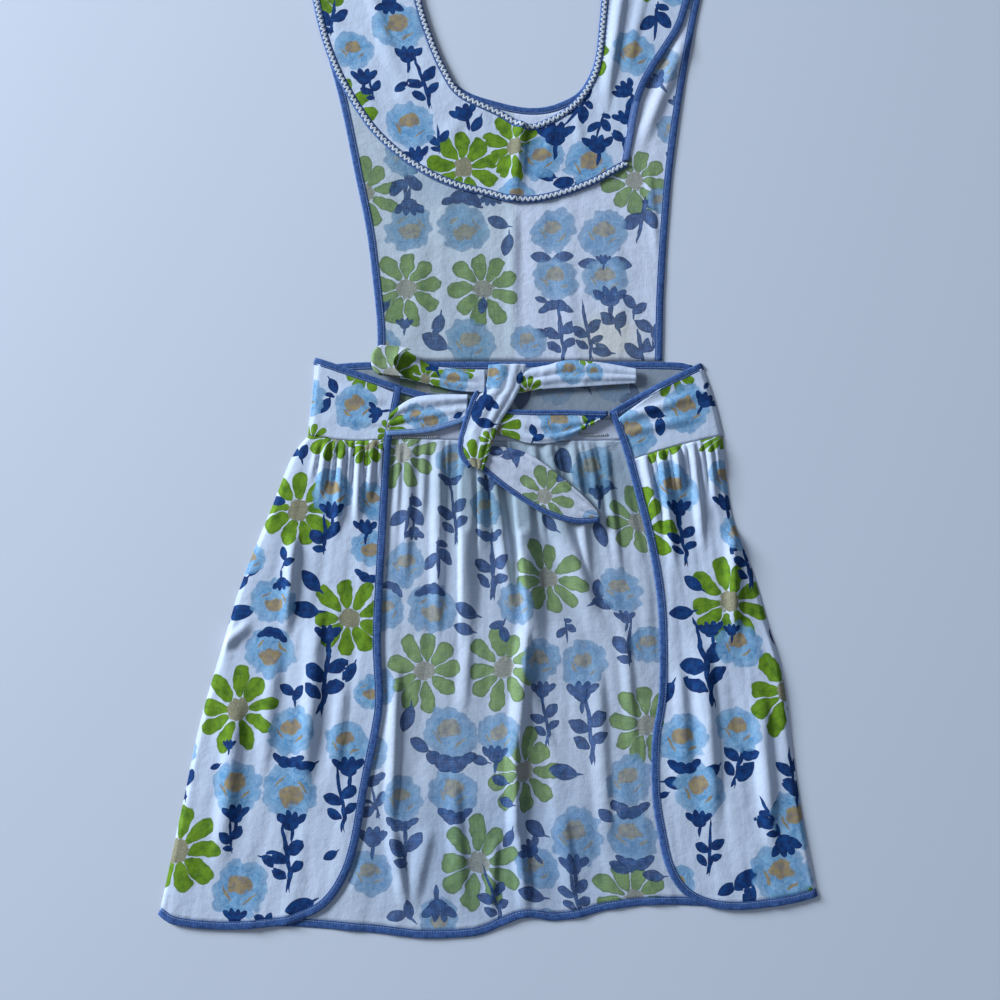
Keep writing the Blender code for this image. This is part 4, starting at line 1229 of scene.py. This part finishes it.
print("yoke")
yoke = dict(
    wrinkles=0.7, crumples=0.5, hemSteps=96, sideSteps=56, edgeSteps=4, rows=30, paleBelow=284,
    neck=[
        (-81, shoulder), (-66, 392), (-55, 354), (-41, 319), (-25, 295), (10, 277), (34, 263), (55, 268),
        (76, 282), (91, 301), (101, 329), (108, 392), (115, shoulder),
    ],
    hem=[
        (-186, shoulder), (-168, 376), (-150, 319), (-121, 267), (-96, 238), (-65, 214), (-34, 199),
        (-4, 191), (23, 184), (54, 186), (95, 200), (131, 220),
    ],
    side=[
        (131, 220), (137, 254), (144, 288), (156, 315), (173, 342), (185, 363), (194, 392), (214, shoulder),
    ],
    folds=[
        (33, 276, 21, 170, 9.0, 4.2), (130, 410, 108, 262, 10.0, 3.4), (-120, 420, -84, 300, 12.0, 1.6),
        (60, 262, 50, 210, 7.0, 1.0), (84, 280, 88, 226, 6.0, 0.9), (-20, 282, -50, 226, 12.0, 0.8),
        (150, 400, 128, 300, 9.0, 1.3),
    ],
    daisies=[
        (-24, 219, 12, 38), (24, 239, 0, 34), (-142, 272, 0, 38), (83, 332, 10, 36), (-168, 398, 20, 30),
        (150, 425, 0, 36), (-110, 440, 0, 34),
    ],
    roses=[
        (-130, 338, 0, 21), (-88, 362, 0, 27), (-75, 261, 0, 25), (138, 334, 0, 24), (49, 228, 0, 23),
        (95, 221, 0, 26), (26, 190, 0, 19), (112, 448, 0, 24), (-150, 440, 0, 22), (180, 404, 0, 22),
        (0, 290, 0, 14),
    ],
    crowns=[
        (-97, 386, 180, 15), (-78, 332, 0, 15), (-120, 309, 0, 14), (-69, 230, 10, 14),
        (-24, 272, 20, 15), (62, 250, 0, 20), (102, 240, 0, 16), (130, 296, 40, 14), (130, 268, 20, 14),
    ],
    stems=[
        (-64, 306, 16, 26, "long"), (-112, 297, 20, 13, "short"), (-151, 370, 0, 18, "short"),
        (-48, 246, 10, 14, "short"), (84, 276, 150, 18, "short"), (105, 262, 178, 14, "short"),
        (52, 212, -22, 12, "leaf"), (160, 370, 180, 20, "short"), (126, 247, 10, 13, "pair"),
        (118, 208, 40, 8, "leaf"), (-12, 262, 60, 9, "leaf"), (70, 204, 10, 11, "leaf"),
        (100, 402, 70, 12, "pair"), (-84, 300, 40, 8, "leaf"), (92, 294, 70, 10, "leaf"),
        (136, 282, 60, 11, "leaf"), (88, 203, 8, 9, "leaf"),
    ],
)


def cutToCorner(first, second):
    # the first line up to where the second is nearest, and the second on from there
    best = min(
        ((a - b).length, i, j)
        for i, a in enumerate(first.points[:-1]) for j, b in enumerate(second.points[1:], 1)
    )
    return first.points[:best[1] + 1], second.points[best[2]:]


def yokeHeight(x, y):
    rise = backLevel + yoke["shape"].read(x, y)[0] + yoke["crumples"] * max(crumple(x, y, 26, 1.0), 0)
    rise += yoke["wrinkles"] * wrinkle(x, y, 4.0, 15.0, 60.0, 0.3)
    return rise * softStep((shoulder - y) / roll)


def makeYoke():
    hemSteps, sideSteps, ends, rows = yoke["hemSteps"], yoke["sideSteps"], yoke["edgeSteps"], yoke["rows"]
    yoke["shape"] = Folds(yoke["folds"])
    neck, hem, side = Line(yoke["neck"]), Line(yoke["hem"]), Line(yoke["side"])
    hemPoints, sidePoints = cutToCorner(hem.moved(bound, count=300), side.moved(bound, count=300))
    hemLength = Line(hemPoints, spans=1).length
    outer = Line(hemPoints + sidePoints, spans=1)
    inner = neck.moved(-bound, count=240)
    turn, corner = roll / outer.length, hemLength / outer.length
    outerShares = spread((ends, turn), (hemSteps, corner), (sideSteps, 1 - turn), (ends, 1.0))
    turn = roll / inner.length
    innerShares = spread((ends, turn), (hemSteps, 0.64), (sideSteps, 1 - turn), (ends, 1.0))
    place = ringSheet(inner, outer, innerShares, outerShares, rows, yokeHeight)
    piece = layCloth(
        "yoke", len(outerShares) - 1, rows, place, "right", "back_yoke", pattern=Pattern(yoke),
        folds=yoke["shape"], other="wrong",
    )
    trims = [
        bind("neckBindingBack", neck, -1, yokeHeight, "binding_neck_back"),
        bind("yokeHemBinding", hem, 1, yokeHeight, "binding_yoke_hem"),
        bind("yokeSideBinding", side.part(5 / side.length, 1), 1, yokeHeight, "binding_yoke_side"),
        trimWithRickrack("neckRickrack", neck, -1, yokeHeight, "rickrack_neck"),
        trimWithRickrack("yokeRickrack", hem, 1, yokeHeight, "rickrack_yoke"),
    ]
    # the lower end of its side binding, which is rolled over, is a paler blue
    faded = trims[2].data
    faded.materials.append(looks["paleBias"])
    for face in faded.polygons:
        if face.center.y < yoke["paleBelow"] * mm:
            face.material_index = 1


makeYoke()

print("front waistband")
frontBand = dict(
    columns=90, rows=22, crumples=0.25, shadeFoot=-23,
    daisies=[(-60, 6, 0, 26)],
    roses=[(60, 6, 0, 18), (-20, 8, 0, 18), (112, 8, 0, 16)],
    crowns=[(88, 10, 30, 10)],
    stems=[(30, 0, 80, 14, "leaf"), (130, 0, 80, 12, "pair")],
)


def makeFrontBand():
    columns, rows = frontBand["columns"], frontBand["rows"]
    topEdge = Line(edges["frontTop"])
    top, seam = topEdge.moved(-bound), Line(edges["frontSeam"])
    surface = patch(top, seam, Line([top.at(0), seam.at(0)]), Line([top.at(1), seam.at(1)]))

    def place(column, row):
        point = surface(column / columns, row / rows)
        return point.x, point.y, frontBand["crumples"] * max(crumple(point.x, point.y, 18, 9.0), 0)

    piece = layCloth(
        "frontWaistband", columns, rows, place, "inside", "front_waistband", pattern=Pattern(frontBand),
        other="right",
    )
    # the painted shade covers only the upper part, deep in the opening; below shadeFoot it is the plain
    # wrong side
    piece.data.materials.append(looks["wrong"])
    for face in piece.data.polygons:
        if face.center.y < frontBand["shadeFoot"] * mm:
            face.material_index = 2
    trim = bind("frontWaistBinding", topEdge, -1, lambda x, y: 0.0, "binding_front_waist")


makeFrontBand()

print("ties")


def slope(base, climb=0.0, top=0.0, over=1.0):
    # level of a tie's underside, which climbs below a place by this much over this stretch
    return lambda x, y: base + climb * softStep((top - y) / over)


tieCloth = dict(columns=70, rows=30, pleatFade=0.55, broad=0.6, fine=0.3)
# pleats, columns: share of the width, half width as a share, rise, share of the length where it is highest
ties = dict(
    left=dict(
        node="tie_left", trimNode="binding_tie_left", trimLook="wornBias", level=slope(tieLevel),
        look="right", bound="lower", crown=0.2,
        upper=[(-90, -19), (-78, -9), (-65, -3), (-45, -1), (-19, -1)],
        lower=[(-93, -39), (-76, -38), (-54, -36), (-36, -31), (-19, -25)],
        pleats=[(0.18, 0.20, 2.4, 0.9), (0.60, 0.17, 1.3, 0.2)],
        flat=(0.074, 0.034),
        daisies=[(-96, -30, 20, 24)], roses=[(-52, -28, 0, 18), (-66, -20, 0, 12)],
        stems=[(-28, -20, 30, 5, "leaf")],
    ),
    right=dict(
        node="tie_right", trimNode="binding_tie_right", level=slope(tieLevel),
        look="right", bound="upper", crown=0.2,
        upper=[(13, -14), (40, -15), (70, -15), (108, -16)],
        lower=[(-2, -38), (15, -39), (37, -46), (64, -44), (87, -33), (104, -22)],
        pleats=[(0.38, 0.24, 1.2, 0.4), (0.82, 0.16, 1.7, 0.8)], flat=(0.106, 0.026),
        daisies=[(6, -32, 10, 26), (92, -34, 0, 14)], roses=[(64, -26, 0, 20)], crowns=[(92, -20, -20, 11)],
        stems=[(42, -38, -20, 10, "pair"), (104, -20, 60, 6, "leaf")],
    ),
    tail=dict(
        node="tail_long", trimNode="binding_tail_long", level=slope(tieLevel, 2.5, -43, 25),
        look="wrong", bound="lower", crown=0.2,
        upper=[(-8, -48), (17, -50), (36, -56), (55, -69), (71, -82), (84, -94), (97, -108)],
        lower=[(-16, -62), (-2, -75), (14, -88), (33, -101), (53, -112), (77, -119), (99, -118)],
        pleats=[(0.22, 0.13, 1.9, 0.0), (0.50, 0.14, 1.5, 0.0), (0.80, 0.18, 0.8, 0.5)],
        flat=(0.130, 0.034),
        daisies=[(50, -94, 24, 27)], roses=[(92, -116, 0, 10)], crowns=[(26, -54, 0, 12)],
        stems=[(20, -58, 30, 12, "pair"), (4, -52, -20, 10, "leaf"), (66, -76, 50, 8, "leaf")],
    ),
    end=dict(
        node="tail_short", level=slope(tieLevel), look="right", bound=None, crown=1.2,
        upper=[(20, 21), (51, 26), (71, 31), (102, 29), (135, 23)],
        lower=[(16, -2), (47, 4), (79, 6), (106, 8), (134, 10)],
        pleats=[(0.24, 0.26, 1.6, 0.2), (0.66, 0.20, 1.4, 0.6)], flat=(0.12, 0.026),
        daisies=[(36, 2, 0, 15), (84, 37, 0, 13)], roses=[(74, 22, 0, 14), (96, 20, 0, 9)],
    ),
    knot=dict(
        node="knot_band", trimNode="binding_knot", level=slope(knotLevel, 2.6, -30, 18),
        look="right", bound="left", crown=1.2,
        bareShare=0.24,      # the binding turns under at the knot's top
        upper=[(-4, 27), (-7, 5), (-14, 0), (-24, -28), (-28, -48), (-26, -60), (-18, -70)],
        lower=[(34, 27), (29, 8), (21, -9), (9, -29), (2, -50), (-2, -62), (-6, -72)],
        pleats=[(0.34, 0.24, 1.2, 0.2), (0.72, 0.16, 1.2, 0.4), (0.93, 0.09, 0.8, 0.9)],
        flat=(0.104, 0.038), daisies=[(-12, -66, 20, 24), (4, -46, 50, 14)], roses=[(4, 17, 0, 14)],
        crowns=[(-3, -8, 180, 13)],
        stems=[(-4, -28, -12, 9, "leaf"), (-11, -18, 80, 9, "leaf"), (28, 14, 75, 6, "leaf")],
    ),
)


def sampleTie(upper, lower, tie):
    def place(column, row):
        u, v = column / tieCloth["columns"], row / tieCloth["rows"]
        point = upper.at(u).lerp(lower.at(u), v)
        lift = tie["crown"] * math.sin(math.pi * min(max(v, 0), 1)) ** 0.8
        for middle, half, rise, peakAt in tie["pleats"]:
            near = 1 - ((v - middle) / half) ** 2
            if near > 0:
                lift += rise * near ** 2 * (1 - tieCloth["pleatFade"] * abs(u - peakAt))
        uneven = tieCloth["broad"] * max(crumple(point.x, point.y, 9, 7.0), 0)
        lift += uneven + tieCloth["fine"] * max(crumple(point.x, point.y, 4, 2.0), 0)
        return point.x, point.y, tie["level"](point.x, point.y) + lift

    return place


def makeTie(name):
    tie = ties[name]
    upper, lower = Line(tie["upper"]), Line(tie["lower"])
    choices = dict(lower=(lower, 1), upper=(upper, -1), left=(upper, 1))
    edge, inward = choices.get(tie["bound"], (None, 0))
    covered = inward * (tieBinding - tieLap)
    clothTop = upper.moved(covered) if edge is upper else upper
    clothFoot = lower.moved(covered) if edge is lower else lower
    place = sampleTie(clothTop, clothFoot, tie)
    piece = layCloth(
        "tie" + name.title(), tieCloth["columns"], tieCloth["rows"], place, tie["look"], tie["node"],
        pattern=Pattern(tie), other="wrong" if tie["look"] == "right" else "right",
    )
    trims = []
    if edge:
        seen = edge.part(tie.get("bareShare", 0.0), 1)
        blue = tie.get("trimLook", "tieBias")
        trimName = "tieBinding" + name.title()
        trims = [bind(trimName, seen, inward, tie["level"], tie["trimNode"], tieBinding, blue)]


for name in ties:
    makeTie(name)

print("bow loop")
# the tie runs left on the surface, round the loop's end and back over itself
# creases, columns: share of the width, half width as a share, share of the rise
bowLoop = dict(
    upper=[(-104, 44), (-78, 41), (-56, 28), (-37, 24), (-3, 22)],
    lower=[(-104, 17), (-74, 13), (-56, 9), (-30, 3), (-3, 1)],
    radius=3.2, back=30.0, steps=(52, 18, 34), rows=26, bulge=7.0, plump=0.8, crumples=0.3,
    creaseRise=1.5, creases=[(0.36, 0.24, 1.0), (0.76, 0.20, 0.7)],
    daisies=[(-88, 15, 10, 34), (-58, 14, 20, 20), (-24, 22, 0, 12)], roses=[(-32, 12, 0, 15)],
    crowns=[(-50, 24, 30, 8)], stems=[(-30, 8, 60, 8, "leaf")],
)


def makeBowLoop():
    rows, radius, steps = bowLoop["rows"], bowLoop["radius"], bowLoop["steps"]
    upper, lower = Line(bowLoop["upper"]), Line(bowLoop["lower"])
    rightEnd, turn, back = bowLoop["upper"][-1][0], bowLoop["upper"][0][0], bowLoop["back"]
    straight, halfTurn = rightEnd - turn, math.pi * radius
    whole = straight + halfTurn + back
    ends = straight / whole, (straight + halfTurn) / whole, 1.0
    shares = spread(*zip(steps, ends))

    def place(column, row):
        run = shares[column] * whole
        v = row / rows
        bulge = bowLoop["bulge"] * abs(2 * v - 1) ** 3      # the loop's end is rounded
        if run <= straight:
            x = rightEnd - run
            fold = sum(
                share * max(1 - ((v - middle) / half) ** 2, 0) ** 2
                for middle, half, share in bowLoop["creases"]
            )
            z = tieLevel + bowLoop["creaseRise"] * fold * softStep((x + 84) / 16) * softStep((-x - 4) / 20)
            inward = bulge * softStep((-70 - x) / 30)
        elif run <= straight + halfTurn:
            angle = (run - straight) / radius
            x, z = turn - radius * math.sin(angle), tieLevel + radius * (1 - math.cos(angle))
            inward = bulge
        else:
            gone = (run - straight - halfTurn) / back
            reach = back - 9.0 * math.sin(math.pi * v) - 6.0 * v
            x = turn + gone * reach
            z = tieLevel + 2 * radius - 1.0 * gone + 3.4 * gone ** 3
            inward = bulge * (1 - 0.6 * gone)
        high, low = upper.yAtX(max(x, turn)), lower.yAtX(max(x, turn))
        y = high + (low - high) * v
        plump = bowLoop["plump"] * math.sin(math.pi * v) * (1 if run > straight else 0.25)
        z += plump + bowLoop["crumples"] * max(crumple(x, y, 8, 3.0), 0)
        return x + inward, y, z

    piece = layCloth(
        "bowLoop", sum(steps), rows, place, "right", "bow_loop", pattern=Pattern(bowLoop), other="wrong",
    )


makeBowLoop()

print("overlock")
overlock = dict(
    left=[(-86, -39.0), (-66, -39.6), (-46, -39.2)], right=[(82, -37.0), (95, -37.6), (107, -37.2)],
)
overlockThread = dict(
    stepLength=0.6, sway=0.2, level=0.7, profile=[(-1.1, 0.2), (-0.5, 0.75), (0.5, 0.75), (1.1, 0.2)],
)


def sewOverlock(side):
    # the serged edge of the skirt's seam, where it shows beside the ties
    line = Line(overlock[side])
    steps = int(line.length / overlockThread["stepLength"])
    profile = overlockThread["profile"]

    def place(column, row):
        share = column / steps
        aside, rise = profile[row]
        sway = overlockThread["sway"] * crumple(column * 3.1, row, 5, 2.0)
        point = line.at(share) + line.leftOf(share) * (aside + sway)
        return point.x, point.y, rise + overlockThread["level"]

    def mapping(column, row):
        return column / steps * line.length * mm, profile[row][0] * mm

    layCloth(
        "overlock" + side.title(), steps, len(profile) - 1, place, "overlock", mapping=mapping,
        thick=threadWall,
    )


for side in overlock:
    sewOverlock(side)

print("stage")
stage = dict(floor=(0.71, 0.75, 0.86), roughness=0.9, size=4.0, gap=0.3 * mm)
# places in metres
lights = dict(
    window=dict(place=(-4.1, 2.1, 1.75), size=1.7, watts=400, colour=(0.82, 0.92, 1.0)),
    fill=dict(place=(0.8, -0.6, 2.0), size=1.8, watts=4.5, colour=(0.74, 0.86, 1.0)),
)
view = dict(target=(0.010, -0.097, 0.0), distance=0.9, elevation=82, lens=36, sensor=36, nearest=0.01)
sky = dict(colour=(0.66, 0.80, 1.0), strength=0.15)


def aim(thing, place, target):
    thing.location = place
    thing.rotation_euler = (Vector(target) - thing.location).to_track_quat("-Z", "Y").to_euler()


def makeStage():
    mesh = bpy.data.meshes.new("floor")
    plane = bmesh.new()
    bmesh.ops.create_grid(plane, x_segments=1, y_segments=1, size=stage["size"] / 2)
    bmesh.ops.translate(plane, verts=plane.verts, vec=(0, 0, -stage["gap"]))
    plane.to_mesh(mesh)
    plane.free()
    n = Nodes("paleFloor")
    n.shader.inputs["Base Color"].default_value = (*stage["floor"], 1)
    n.shader.inputs["Roughness"].default_value = stage["roughness"]
    mesh.materials.append(n.material)
    addObject("floor", mesh)


def makeLight(name):
    look = lights[name]
    light = bpy.data.lights.new(name, "AREA")
    light.shape = "SQUARE"
    light.size = look["size"]
    light.energy = look["watts"]
    light.color = look["colour"]
    aim(addObject(name, light), look["place"], (0, 0, 0))


def makeCamera():
    camera = bpy.data.cameras.new("camera")
    camera.lens = view["lens"]
    camera.sensor_width = view["sensor"]
    camera.clip_start = view["nearest"]
    eye = addObject("camera", camera)
    height = math.radians(view["elevation"])
    back = Vector((0, -math.cos(height), math.sin(height)))
    aim(eye, Vector(view["target"]) + view["distance"] * back, view["target"])
    bpy.context.scene.camera = eye


def makeWorld():
    world = bpy.data.worlds.new("studio")
    world.use_nodes = True
    background = world.node_tree.nodes["Background"]
    background.inputs["Color"].default_value = (*sky["colour"], 1)
    background.inputs["Strength"].default_value = sky["strength"]
    bpy.context.scene.world = world
    bpy.context.scene.view_settings.view_transform = "Standard"


makeStage()
for name in lights:
    makeLight(name)
makeCamera()
makeWorld()
